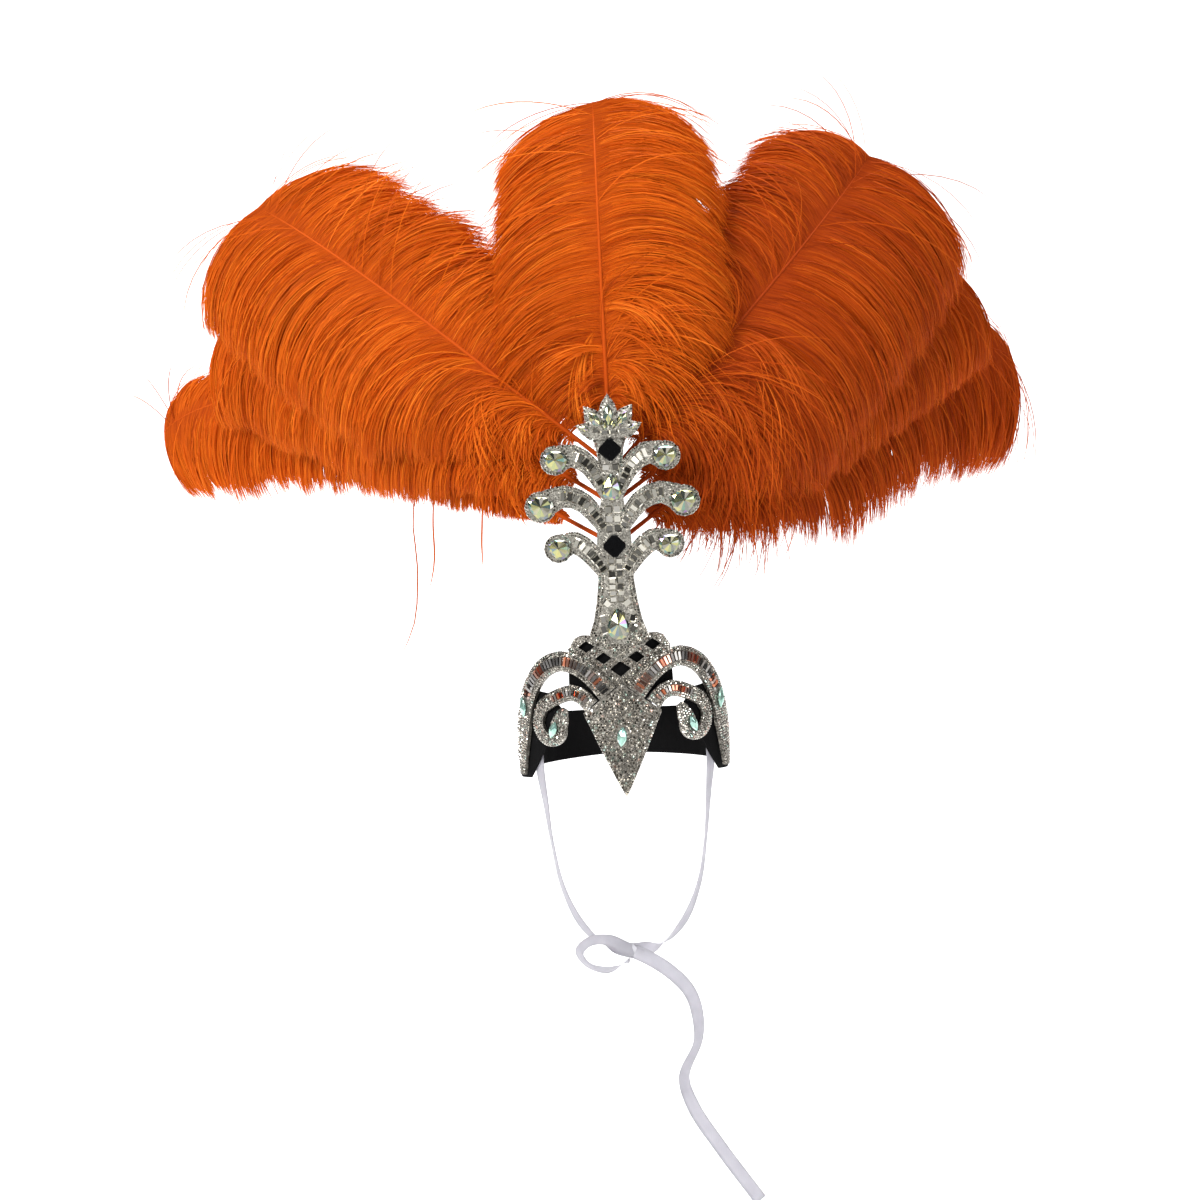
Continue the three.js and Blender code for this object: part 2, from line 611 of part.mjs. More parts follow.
function quill(path) {
  const steps = 10;
  const rings = Array.from({ length: steps + 1 }, (_, k) => {
    const t = k / steps;
    const along = path.getTangent(t);
    const side = vec(0, 0, 0).crossVectors(along, vec(0, 1, 0)).normalize();
    const front = vec(0, 0, 0).crossVectors(side, along);
    const radius = lerp(QUILL_ROOT_RADIUS, QUILL_TIP_RADIUS, t);
    return Array.from({ length: QUILL_SIDES }, (_, j) => {
      const angle = 2 * Math.PI * j / QUILL_SIDES;
      const spoke = side.clone().multiplyScalar(Math.cos(angle)).addScaledVector(front, Math.sin(angle));
      return path.getPoint(t).addScaledVector(spoke, radius);
    });
  });
  return loft(rings);
}

function plumeSolid(plume) {
  const path = quillPath(plume);
  const parts = [quill(path)];
  for (const side of [-1, 1]) {
    for (let k = 0; k < LOCKS_PER_SIDE; k++) {
      const t = lerp(BARE_SHARE, 0.985, k / (LOCKS_PER_SIDE - 1));
      const width = LOCK_WIDTH * lerp(0.5, 1, barbShare(plume, t));
      parts.push(lock(barbPath(plume, path, t, side), width, (k % 2) * 0.7 + (side > 0 ? 0.3 : 0)));
    }
  }
  return fuse(parts);
}

// The largest of a body's separate pieces, without any hollow inside it.
function largest(manifold) {
  return manifold.decompose().reduce((best, piece) => (piece.volume() > best.volume() ? piece : best));
}

// Each plume is trimmed where it would reach through those in front of it.
const TRIM = CLEAR + WELD;
const plumesInFront = [];
for (const plume of PLUMES) {
  let body = plumeSolid(plume);
  for (const other of plumesInFront) {
    for (const shift of [-TRIM, 0, TRIM]) {
      body = body.subtract(other.translate(0, shift, 0));
    }
  }
  body = largest(body.simplify(WELD));
  plumesInFront.push(body);
  const look = plume.name.endsWith("right") ? "plumeDeep" : "plumeBright";
  add(`plume_${plume.name}`, geometryOf(body), look);
}

// Plume holder: a plain block behind the column, bored for the seven quills.
const holderHeight = HOLDER_TOP_Z - HOLDER_BOTTOM_Z;
const holderY = SPIRE_BACK_Y + CLEAR + HOLDER_DEPTH / 2;
const holderBlock = new THREE.BoxGeometry(2 * HOLDER_HALF_WIDTH, HOLDER_DEPTH, holderHeight);
holderBlock.translate(0, holderY, HOLDER_BOTTOM_Z + holderHeight / 2);
const SOCKET_LENGTH = 24;
const sockets = PLUMES.map((plume) => {
  const along = quillPath(plume).getTangent(0);
  const radius = QUILL_ROOT_RADIUS + CLEAR;
  const bore = new THREE.CylinderGeometry(radius, radius, SOCKET_LENGTH, 8);
  bore.translate(0, SOCKET_LENGTH / 2 - CLEAR, 0);
  bore.applyQuaternion(new THREE.Quaternion().setFromUnitVectors(vec(0, 1, 0), along));
  return bore.translate(plume.x, QUILL_ROOT_Y, plume.z);
});
add("plume_holder", geometryOf(cut(solid(holderBlock), sockets)), "holder");

// Ribbon ties: white satin from inside each temple down to a knot, with one bow loop and one long end.
// Facing is the direction of the ribbon's width.
function ribbon(rows, steps) {
  const path = new THREE.CatmullRomCurve3(rows.map((row) => vec(...row.at)));
  const widths = new THREE.CatmullRomCurve3(rows.map((row) => vec(...row.facing)));
  return wall(steps, 1, (u, v, side) => {
    const along = path.getTangent(u);
    const face = vec(0, 0, 0).crossVectors(along, widths.getPoint(u)).normalize();
    const across = vec(0, 0, 0).crossVectors(face, along);
    const here = path.getPoint(u).addScaledVector(across, (v - 0.5) * RIBBON_WIDTH);
    return here.addScaledVector(face, (side - 0.5) * RIBBON_THICK);
  });
}
const TIE = [
  { at: [73.2, -56.9, 40], facing: [0.6, 0.8, 0] },
  { at: [72.9, -56.6, 22], facing: [0.6, 0.8, 0] },
  { at: [70, -54, -4], facing: [0.45, 0.9, 0] },
  { at: [66, -54, -40], facing: [0.3, 1, 0] },
  { at: [58, -57, -80], facing: [0.4, 1, -0.2] },
  { at: [43, -63, -111], facing: [0.5, 0.9, -0.4] },
  { at: [24, -69, -128], facing: [0.3, 0.8, 0.1] },
  { at: [6.6, -72, -132], facing: [0, 0.3, 0.95] },
];
const acrossX = ([x, y, z]) => [-x, y, z];
const TIE_STEPS = 13;
add("tie_right", ribbon(TIE, TIE_STEPS), "satin");
const tieLeft = TIE.map((row) => ({ at: acrossX(row.at), facing: acrossX(row.facing) }));
add("tie_left", ribbon(tieLeft, TIE_STEPS), "satin");

const KNOT = { at: [0, -72, -133], radius: 6 };
const knot = new THREE.IcosahedronGeometry(KNOT.radius, 1).scale(0.95, 0.8, 1.15);
add("tie_knot", geometryOf(fuse([indexed(knot)]).translate(KNOT.at)), "satin");

function indexed(geometry) {
  const count = geometry.getAttribute("position").count;
  geometry.setIndex(Array.from({ length: count }, (_, k) => k));
  return geometry;
}
const LOOP = [
  { at: [-4, -77.2, -131], facing: [0, 0.3, 0.95] },
  { at: [-20, -79.5, -122], facing: [0, 0.7, 0.7] },
  { at: [-37, -78, -122], facing: [-0.3, 0.85, 0.5] },
  { at: [-47, -73, -132], facing: [-0.6, 0.8, 0] },
  { at: [-40, -69, -144], facing: [-0.3, 0.85, -0.4] },
  { at: [-23, -69, -149], facing: [0, 0.8, -0.6] },
  { at: [-4.4, -71.5, -141.2], facing: [0, 0.95, 0.2] },
];
add("tie_loop", ribbon(LOOP, 14), "satin");
const LONG_END = [
  { at: [2.5, -77.5, -134], facing: [0.5, 0.15, 0.85] },
  { at: [27, -77, -149.5], facing: [0.6, 0.3, 0.75] },
  { at: [44.5, -73, -169], facing: [0.8, 0.4, 0.4] },
  { at: [50.5, -71, -188], facing: [0.9, 0.5, 0.1] },
  { at: [50.2, -71, -212], facing: [0.7, 0.7, 0] },
  { at: [36.7, -73, -242], facing: [0.8, 0.6, -0.2] },
  { at: [43.2, -75, -267], facing: [0.9, 0.4, 0.3] },
  { at: [64.4, -78, -302], facing: [0.8, 0.4, 0.5] },
  { at: [96.2, -82, -348], facing: [0.7, 0.4, 0.6] },
];
add("tie_end", ribbon(LONG_END, 18), "satin");

export default headdress;
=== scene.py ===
import math

import bmesh
import bpy
import numpy as np
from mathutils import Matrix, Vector


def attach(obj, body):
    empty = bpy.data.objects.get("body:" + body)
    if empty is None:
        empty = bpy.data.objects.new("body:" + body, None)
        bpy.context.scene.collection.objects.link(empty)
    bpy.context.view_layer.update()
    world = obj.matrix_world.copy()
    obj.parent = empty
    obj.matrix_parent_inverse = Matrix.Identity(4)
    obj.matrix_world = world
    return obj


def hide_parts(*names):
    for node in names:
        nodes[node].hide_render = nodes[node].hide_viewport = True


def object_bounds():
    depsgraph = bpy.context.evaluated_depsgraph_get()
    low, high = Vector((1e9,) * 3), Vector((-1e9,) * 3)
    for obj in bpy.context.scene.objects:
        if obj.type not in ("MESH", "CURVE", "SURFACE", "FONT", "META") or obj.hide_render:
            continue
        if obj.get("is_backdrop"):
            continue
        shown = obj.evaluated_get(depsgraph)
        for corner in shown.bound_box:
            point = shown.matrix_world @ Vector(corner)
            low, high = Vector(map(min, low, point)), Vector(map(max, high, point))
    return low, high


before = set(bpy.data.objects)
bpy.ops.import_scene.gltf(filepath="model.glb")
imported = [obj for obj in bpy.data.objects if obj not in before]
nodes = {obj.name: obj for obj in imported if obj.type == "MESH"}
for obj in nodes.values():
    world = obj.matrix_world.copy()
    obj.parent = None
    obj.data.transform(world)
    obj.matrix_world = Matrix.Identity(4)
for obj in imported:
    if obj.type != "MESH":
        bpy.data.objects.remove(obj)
cad_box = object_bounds()
scene = bpy.context.scene

# Camera: straight from the front, level with the foot of the spire, two metres away.
# It is turned a little about its line of sight, because the headdress is worn leaning to the left.
MM = 0.001
SENSOR = 36
VIEW_DISTANCE = 2000 * MM
VIEW_WIDTH = 1008 * MM
SPIRE_PLANE_Y = -98 * MM
CAMERA_X = -14.4 * MM
CAMERA_Z = 166.4 * MM
LEAN = math.radians(2.86)

camera = bpy.data.objects.new("camera", bpy.data.cameras.new("camera"))
camera.data.sensor_width = SENSOR
camera.data.lens = SENSOR * VIEW_DISTANCE / VIEW_WIDTH
camera.location = (CAMERA_X, SPIRE_PLANE_Y - VIEW_DISTANCE, CAMERA_Z)
camera.rotation_euler = (math.radians(90), LEAN, 0)
scene.collection.objects.link(camera)
scene.camera = camera


# Ribbon ties: two lengths of white satin ribbon, sewn inside the felt band at its sides and tied together
# below it. The left one runs through the knot into the long free end, the right one into the bow loop.
RIBBON_WIDTH = 12 * MM
RIBBON_THICK = 0.5 * MM
RIBBON_COLUMNS = 4
RIBBON_CUP = 0.7 * MM
RIBBON_STATIONS = 110
WEAVE_PER_METRE = 1600

# Columns: x, y, z of the middle line in mm, then the direction of the ribbon's width.
TIE_ROWS = [
    (73.2, -56.9, 40, 0.6, 0.8, 0),
    (72.9, -56.6, 22, 0.6, 0.8, 0),
    (70, -54, -4, 0.45, 0.9, 0),
    (66, -54, -40, 0.3, 1, 0),
    (58, -57, -80, 0.4, 1, -0.2),
    (43, -63, -111, 0.5, 0.9, -0.4),
    (24, -69, -128, 0.3, 0.8, 0.1),
    (6.6, -72, -132, 0, 0.3, 0.95),
]
LOOP_ROWS = [
    (-4, -77.2, -131, 0, 0.3, 0.95),
    (-20, -79.5, -122, 0, 0.7, 0.7),
    (-37, -78, -122, -0.3, 0.85, 0.5),
    (-47, -73, -132, -0.6, 0.8, 0),
    (-40, -69, -144, -0.3, 0.85, -0.4),
    (-23, -69, -149, 0, 0.8, -0.6),
    (-4.4, -71.5, -141.2, 0, 0.95, 0.2),
]
LONG_END_ROWS = [
    (2.5, -77.5, -134, 0.5, 0.15, 0.85),
    (27, -77, -149.5, 0.6, 0.3, 0.75),
    (44.5, -73, -169, 0.8, 0.4, 0.4),
    (50.5, -71, -188, 0.9, 0.5, 0.1),
    (50.2, -71, -212, 0.7, 0.7, 0),
    (36.7, -73, -242, 0.8, 0.6, -0.2),
    (43.2, -75, -267, 0.9, 0.4, 0.3),
    (64.4, -78, -302, 0.8, 0.4, 0.5),
    (96.2, -82, -348, 0.7, 0.4, 0.6),
]


def smooth_rows(rows, count):
    """Even rows along a smooth curve through the given rows; the first three columns are its path."""
    rows = np.asarray(rows, float)
    gaps = np.linalg.norm(np.diff(rows[:, :3], axis=0), axis=1)
    knots = np.concatenate([[0], np.cumsum(np.sqrt(gaps))])
    slopes = np.gradient(rows, knots, axis=0)
    at = np.linspace(0, knots[-1], 12 * count)
    low = np.clip(np.searchsorted(knots, at, side="right") - 1, 0, len(knots) - 2)
    span = (knots[low + 1] - knots[low])[:, None]
    s = (at[:, None] - knots[low][:, None]) / span
    fine = (2 * s**3 - 3 * s**2 + 1) * rows[low] + (s**3 - 2 * s**2 + s) * span * slopes[low]
    fine += (3 * s**2 - 2 * s**3) * rows[low + 1] + (s**3 - s**2) * span * slopes[low + 1]
    run = np.concatenate([[0], np.cumsum(np.linalg.norm(np.diff(fine[:, :3], axis=0), axis=1))])
    even = np.linspace(0, run[-1], count)
    return np.stack([np.interp(even, run, column) for column in fine.T], axis=1)


def unit(vectors):
    return vectors / np.linalg.norm(vectors, axis=-1, keepdims=True)


def add_piece(name, bm, material, smooth=False):
    """A new mesh object on the part, with its normals recalculated and its shading set."""
    bmesh.ops.recalc_face_normals(bm, faces=bm.faces[:])
    mesh = bpy.data.meshes.new(name)
    bm.to_mesh(mesh)
    bm.free()
    if smooth:
        mesh.shade_smooth()
    else:
        mesh.shade_flat()
    piece = bpy.data.objects.new(name, mesh)
    scene.collection.objects.link(piece)
    mesh.materials.append(material)
    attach(piece, "root")
    return piece


def node_link(material, from_socket, to_socket):
    material.node_tree.links.new(from_socket, to_socket)


def new_material(name, base, roughness, metallic=0.0):
    material = bpy.data.materials.new(name)
    material.use_nodes = True
    shader = material.node_tree.nodes["Principled BSDF"]
    shader.inputs["Base Color"].default_value = (*base, 1)
    shader.inputs["Roughness"].default_value = roughness
    shader.inputs["Metallic"].default_value = metallic
    return material, shader


def satin_material():
    material, shader = new_material("white_satin", (0.70, 0.69, 0.73), 0.38)
    shader.inputs["Sheen Weight"].default_value = 0.35
    shader.inputs["Sheen Roughness"].default_value = 0.4
    tree = material.node_tree.nodes
    place = tree.new("ShaderNodeTexCoord")
    weave = tree.new("ShaderNodeTexWave")
    weave.inputs["Scale"].default_value = WEAVE_PER_METRE / 10
    weave.inputs["Distortion"].default_value = 1.5
    cloud = tree.new("ShaderNodeTexNoise")
    cloud.inputs["Scale"].default_value = 90
    tint = tree.new("ShaderNodeMix")
    tint.data_type = "RGBA"
    tint.inputs["A"].default_value = (0.60, 0.59, 0.64, 1)
    tint.inputs["B"].default_value = (0.74, 0.73, 0.77, 1)
    bump = tree.new("ShaderNodeBump")
    bump.inputs["Strength"].default_value = 0.12
    bump.inputs["Distance"].default_value = 0.2 * MM
    node_link(material, place.outputs["Object"], weave.inputs["Vector"])
    node_link(material, place.outputs["Object"], cloud.inputs["Vector"])
    node_link(material, cloud.outputs["Fac"], tint.inputs["Factor"])
    node_link(material, tint.outputs["Result"], shader.inputs["Base Color"])
    node_link(material, weave.outputs["Fac"], bump.inputs["Height"])
    node_link(material, bump.outputs["Normal"], shader.inputs["Normal"])
    return material


def ribbon_piece(name, rows, material):
    """A thin, slightly cupped strip along the rows, and the points of its middle line."""
    even = smooth_rows(rows, RIBBON_STATIONS)
    middle = even[:, :3] * MM
    along = unit(np.gradient(middle, axis=0))
    face = unit(np.cross(along, even[:, 3:]))
    across = np.cross(face, along)
    bm = bmesh.new()
    lines = []
    for column in range(RIBBON_COLUMNS + 1):
        share = 2 * column / RIBBON_COLUMNS - 1
        cup = RIBBON_CUP * (share**2 - 0.5)
        line = middle + across * (share * RIBBON_WIDTH / 2) + face * cup
        lines.append([bm.verts.new(point) for point in line])
    for left, right in zip(lines, lines[1:]):
        for k in range(RIBBON_STATIONS - 1):
            bm.faces.new((left[k], left[k + 1], right[k + 1], right[k]))
    bmesh.ops.solidify(bm, geom=bm.faces[:], thickness=RIBBON_THICK)
    piece = add_piece(name, bm, material, smooth=True)
    length = float(np.linalg.norm(np.diff(middle, axis=0), axis=1).sum())
    return piece, middle, length


def mirrored(rows):
    return [(-row[0], row[1], row[2], -row[3], *row[4:]) for row in rows]


satin = satin_material()
KNOT_AT = Vector((0, -72, -133)) * MM
KNOT_SIZE = (5.4, 4.4, 6.6)
KNOT_FOLDS = 5
KNOT_FOLD_DEPTH = 0.09

bm = bmesh.new()
bmesh.ops.create_uvsphere(bm, u_segments=40, v_segments=20, radius=1)
for vert in bm.verts:
    turn = math.atan2(vert.co.z, vert.co.x)
    fold = 1 + KNOT_FOLD_DEPTH * math.sin(KNOT_FOLDS * turn + 3 * vert.co.y)
    vert.co = KNOT_AT + Vector([fold * size * MM * c for size, c in zip(KNOT_SIZE, vert.co)])
knot = add_piece("ribbon_knot", bm, satin, smooth=True)
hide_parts("tie_knot")

left_rows = mirrored(TIE_ROWS) + LONG_END_ROWS
ribbon_left, path, length = ribbon_piece("ribbon_left", left_rows, satin)
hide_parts("tie_left", "tie_end")

ribbon_right, path, length = ribbon_piece("ribbon_right", TIE_ROWS + LOOP_ROWS, satin)
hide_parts("tie_right", "tie_loop")


# Crown peak: the pointed shield at the front, foam under silver glitter cloth, packed with round rhinestones
# that are glued on in close rows, with one line of larger stones along its edge.
WALL_X = 96
WALL_Y = 98
CROWN_THICK = 3
CROWN_PUFF = 1.4
PEAK_HALF_WIDTH = 31.7
PEAK_SHOULDER_Z = 71
PEAK_TOP_Z = 95
GLITTER_PER_METRE = 1100


def wall_normal(x):
    y = -WALL_Y * np.sqrt(1 - (x / WALL_X) ** 2)
    return unit(np.stack([x / WALL_X**2, y / WALL_Y**2, np.zeros_like(x)], axis=-1))


def on_wall(x, z, out):
    """Points of the crown's curved wall, seen from the front at x and z, moved out by out, in mm."""
    x = np.asarray(x, float)
    z = np.broadcast_to(np.asarray(z, float), x.shape)
    y = -WALL_Y * np.sqrt(1 - (x / WALL_X) ** 2)
    return np.stack([x, y, z], axis=-1) + wall_normal(x) * np.asarray(out, float)[..., None]


def glitter_group():
    """Flakes of glitter: each cell has its own shade and tilts the surface its own way."""
    group = bpy.data.node_groups.new("glitter_flakes", "ShaderNodeTree")
    group.interface.new_socket("Scale", in_out="INPUT", socket_type="NodeSocketFloat")
    group.interface.new_socket("Shade", in_out="OUTPUT", socket_type="NodeSocketFloat")
    group.interface.new_socket("Normal", in_out="OUTPUT", socket_type="NodeSocketVector")
    tree = group.nodes
    start = tree.new("NodeGroupInput")
    end = tree.new("NodeGroupOutput")
    place = tree.new("ShaderNodeTexCoord")
    cells = tree.new("ShaderNodeTexVoronoi")
    shape = tree.new("ShaderNodeNewGeometry")
    centre = tree.new("ShaderNodeVectorMath")
    centre.operation = "SUBTRACT"
    centre.inputs[1].default_value = (0.5, 0.5, 0.5)
    tilt = tree.new("ShaderNodeVectorMath")
    tilt.operation = "SCALE"
    tilt.inputs["Scale"].default_value = 0.75
    total = tree.new("ShaderNodeVectorMath")
    total.operation = "ADD"
    normal = tree.new("ShaderNodeVectorMath")
    normal.operation = "NORMALIZE"
    split = tree.new("ShaderNodeSeparateColor")
    link = group.links.new
    link(place.outputs["Object"], cells.inputs["Vector"])
    link(start.outputs["Scale"], cells.inputs["Scale"])
    link(cells.outputs["Color"], centre.inputs[0])
    link(centre.outputs[0], tilt.inputs[0])
    link(tilt.outputs[0], total.inputs[0])
    link(shape.outputs["Normal"], total.inputs[1])
    link(total.outputs[0], normal.inputs[0])
    link(cells.outputs["Color"], split.inputs[0])
    link(split.outputs["Red"], end.inputs["Shade"])
    link(normal.outputs[0], end.inputs["Normal"])
    return group


def glitter_material(name, dark, light, scale):
    material, shader = new_material(name, light, 0.34, 0.85)
    tree = material.node_tree.nodes
    flakes = tree.new("ShaderNodeGroup")
    flakes.node_tree = GLITTER
    flakes.inputs["Scale"].default_value = scale
    tint = tree.new("ShaderNodeMix")
    tint.data_type = "RGBA"
    tint.inputs["A"].default_value = (*dark, 1)
    tint.inputs["B"].default_value = (*light, 1)
    node_link(material, flakes.outputs["Shade"], tint.inputs["Factor"])
    node_link(material, tint.outputs["Result"], shader.inputs["Base Color"])
    node_link(material, flakes.outputs["Normal"], shader.inputs["Normal"])
    return material


def dress(node_name, material):
    """Gives a CAD node that is shown as it is its material."""
    node = nodes[node_name]
    node.data.materials.clear()
    node.data.materials.append(material)


def stone_material(name, roughness, stops):
    """Foil-backed stones; the tone attribute of each stone picks its tint from the stops."""
    material, shader = new_material(name, stops[0][1], roughness, 1.0)
    tree = material.node_tree.nodes
    tone = tree.new("ShaderNodeAttribute")
    tone.attribute_name = "tone"
    ramp = tree.new("ShaderNodeValToRGB")
    ramp.color_ramp.interpolation = "LINEAR"
    while len(ramp.color_ramp.elements) < len(stops):
        ramp.color_ramp.elements.new(0.5)
    for element, (position, colour) in zip(ramp.color_ramp.elements, stops):
        element.position = position
        element.color = (*colour, 1)
    node_link(material, tone.outputs["Fac"], ramp.inputs["Fac"])
    node_link(material, ramp.outputs["Color"], shader.inputs["Base Color"])
    return material


def round_stone():
    """A round rhinestone of radius 1: an eight-sided girdle, crown facets and a table."""
    bm = bmesh.new()
    bmesh.ops.create_cone(bm, cap_ends=True, segments=8, radius1=1, radius2=0.56, depth=0.62)
    bmesh.ops.translate(bm, verts=bm.verts[:], vec=(0, 0, 0.31))
    return bm


def bar_stone():
    """A baguette or tile one unit wide, long and high, with a bevelled top."""
    bm = bmesh.new()
    bmesh.ops.create_cube(bm, size=1)
    bmesh.ops.translate(bm, verts=bm.verts[:], vec=(0, 0, 0.5))
    for vert in bm.verts:
        if vert.co.z > 0.5:
            vert.co.x *= 0.72
            vert.co.y *= 0.8
    return bm


def set_stones(name, pattern, places, first, second, out, sizes, tones, material):
    """Copies of a pattern as one piece: places in mm, three directions and sizes, and a tone for each."""
    points = np.array([vert.co for vert in pattern.verts])
    loops = [[vert.index for vert in face.verts] for face in pattern.faces]
    pattern.free()
    sizes = np.broadcast_to(sizes, (len(places), 3))
    spread = places[:, None, :].repeat(len(points), axis=1)
    for axis, direction in enumerate((first, second, out)):
        spread = spread + points[None, :, axis, None] * (sizes[:, axis, None] * direction)[:, None, :]
    faces = [[k * len(points) + i for i in loop] for k in range(len(places)) for loop in loops]
    mesh = bpy.data.meshes.new(name)
    mesh.from_pydata((spread.reshape(-1, 3) * MM).tolist(), [], faces)
    tone = mesh.attributes.new("tone", "FLOAT", "POINT")
    tone.data.foreach_set("value", np.repeat(tones, len(points)).astype(np.float32))
    mesh.shade_flat()
    mesh.materials.append(material)
    piece = bpy.data.objects.new(name, mesh)
    scene.collection.objects.link(piece)
    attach(piece, "root")
    return piece


def jittered(out, rng, amount):
    """The outward directions, each tilted a little its own way, as hand-set stones are."""
    return unit(out + rng.normal(0, amount, out.shape))


def side_pair(out):
    """Two directions across each outward one."""
    first = unit(np.cross(out, np.array([0.0, 0.0, 1.0])))
    return first, np.cross(out, first)


def hex_grid(low, high, spacing):
    """x and z of a close-packed grid over a box."""
    rows = np.arange(low[1], high[1], spacing * math.sqrt(3) / 2)
    points = []
    for k, z in enumerate(rows):
        x = np.arange(low[0] + (k % 2) * spacing / 2, high[0], spacing)
        points.append(np.stack([x, np.full_like(x, z)], axis=1))
    return np.concatenate(points)


GLITTER = glitter_group()
CLOTH_DARK = (0.075, 0.07, 0.06)
CLOTH_LIGHT = (0.42, 0.39, 0.34)
silver_cloth = glitter_material("silver_glitter_cloth", CLOTH_DARK, CLOTH_LIGHT, GLITTER_PER_METRE)
rhinestone = stone_material("rhinestone", 0.07, [
    (0.0, (0.20, 0.19, 0.17)),
    (0.5, (0.52, 0.49, 0.44)),
    (0.84, (0.82, 0.78, 0.70)),
    (0.93, (0.46, 0.62, 0.56)),
    (1.0, (0.72, 0.48, 0.40)),
])
dress("v_peak", silver_cloth)
rng = np.random.default_rng(11)
STONE_JITTER = 0.1
PEAK_STONE_CLEAR = (5.4, 9.6)
PEAK_LOWER_MARGIN = 4.6
PEAK_UPPER_MARGIN = 1.8
PEAK_EDGE_INSET = 2.1
PEAK_END_INSET = 1.5
PEAK_EDGE_STONES = 61
STONE_PITCH = 2.75
STONE_SINK = 0.15
STONE_RADIUS = 1.28
EDGE_STONE_RADIUS = 1.35


def peak_edges(x):
    share = np.abs(x) / PEAK_HALF_WIDTH
    return PEAK_SHOULDER_Z * share**1.06, PEAK_TOP_Z + (PEAK_SHOULDER_Z - PEAK_TOP_Z) * share


def peak_rise(x, z):
    low, high = peak_edges(x)
    v = np.clip((z - low) / np.maximum(high - low, 1), 0, 1)
    return CROWN_THICK + CROWN_PUFF * (1 - (2 * v - 1) ** 2) * (1 - (x / PEAK_HALF_WIDTH) ** 2)


grid = hex_grid((-PEAK_HALF_WIDTH, 0), (PEAK_HALF_WIDTH, PEAK_TOP_Z), STONE_PITCH)
low, high = peak_edges(grid[:, 0])
peak_stone = Vector((-1.5, 51))
clear = ((grid[:, 0] - peak_stone.x) / PEAK_STONE_CLEAR[0]) ** 2
clear = clear + ((grid[:, 1] - peak_stone.y) / PEAK_STONE_CLEAR[1]) ** 2 > 1
inside = (grid[:, 1] > low + PEAK_LOWER_MARGIN) & (grid[:, 1] < high - PEAK_UPPER_MARGIN)
grid = grid[inside & clear]
edge_x = np.linspace(-PEAK_HALF_WIDTH + PEAK_END_INSET, PEAK_HALF_WIDTH - PEAK_END_INSET, PEAK_EDGE_STONES)
edge = np.stack([edge_x, peak_edges(edge_x)[0] + PEAK_EDGE_INSET], axis=1)
grid = np.concatenate([grid, edge])
radii = np.full(len(grid), STONE_RADIUS)
radii[-len(edge):] = EDGE_STONE_RADIUS
out = jittered(wall_normal(grid[:, 0]), rng, STONE_JITTER)
first, second = side_pair(out)
places = on_wall(grid[:, 0], grid[:, 1], peak_rise(grid[:, 0], grid[:, 1]) - STONE_SINK)
set_stones("v_peak_stones", round_stone(), places, first, second, out, radii[:, None],
           rng.random(len(grid)), rhinestone)


# Arches: padded foam bands at the sides, each with a row of clear baguettes like the rungs of a ladder
# between lines of round rhinestones. The orange of the plumes in the baguettes is a painted reflection in
# their colour.
# Columns: x, z and width of the band in mm.
ARCH_ROWS = [
    (11.4, 87.3, 17),
    (22, 101, 17),
    (35, 112, 17),
    (50, 116.4, 17),
    (63, 111.5, 17),
    (73, 99, 18),
    (79.5, 82, 20),
    (83, 62, 21),
    (85, 42, 17),
    (86, 20, 8),
]
BAGUETTE = (2.9, 8.4, 1.7)
BAGUETTE_PITCH = 3.3
BAGUETTE_JITTER = 0.06
BAGUETTE_SINK = 0.2
BAND_JITTER = 0.12
EDGE_TILT = 0.22
ROW_SPACING = 2.08
MARQUISE_SEAT = 1.0


def wall_band(rows, side):
    """Frames along a band on the crown wall: its middle line, three directions and width at many places."""
    rows = np.asarray(rows, float)
    even = smooth_rows(np.stack([side * rows[:, 0], rows[:, 2], rows[:, 1]], axis=1), 240)
    point = on_wall(even[:, 0], even[:, 2], np.zeros(len(even)))
    along = unit(np.gradient(point, axis=0))
    normal = wall_normal(even[:, 0])
    return {"point": point, "along": along, "across": unit(np.cross(normal, along)), "normal": normal,
            "width": even[:, 1], "rise": CROWN_THICK, "puff": 1.24, "flat": 1 / 3}


def band_row(band, share, pitch, start=0.0, stop=1.0):
    """Places, along, across and outward directions and widths of a row of stones on a band."""
    bulge = band["puff"] * np.clip((1 - abs(share)) / (1 - band["flat"]), 0, 1)
    line = band["point"] + band["across"] * (share * band["width"] / 2)[:, None]
    line = line + band["normal"] * (band["rise"] + bulge)
    run = np.concatenate([[0], np.cumsum(np.linalg.norm(np.diff(line, axis=0), axis=1))])
    count = max(2, int((stop - start) * run[-1] / pitch))
    at = run[-1] * (start + (stop - start) * (np.arange(count) + 0.5) / count)

    def pick(values):
        return np.stack([np.interp(at, run, column) for column in values.T], axis=1)

    tip = EDGE_TILT * share if abs(share) > band["flat"] else 0.0
    out = unit(pick(band["normal"]) + tip * pick(band["across"]))
    along = unit(pick(band["along"]))
    return pick(line), along, unit(np.cross(out, along)), out, np.interp(at, run, band["width"])


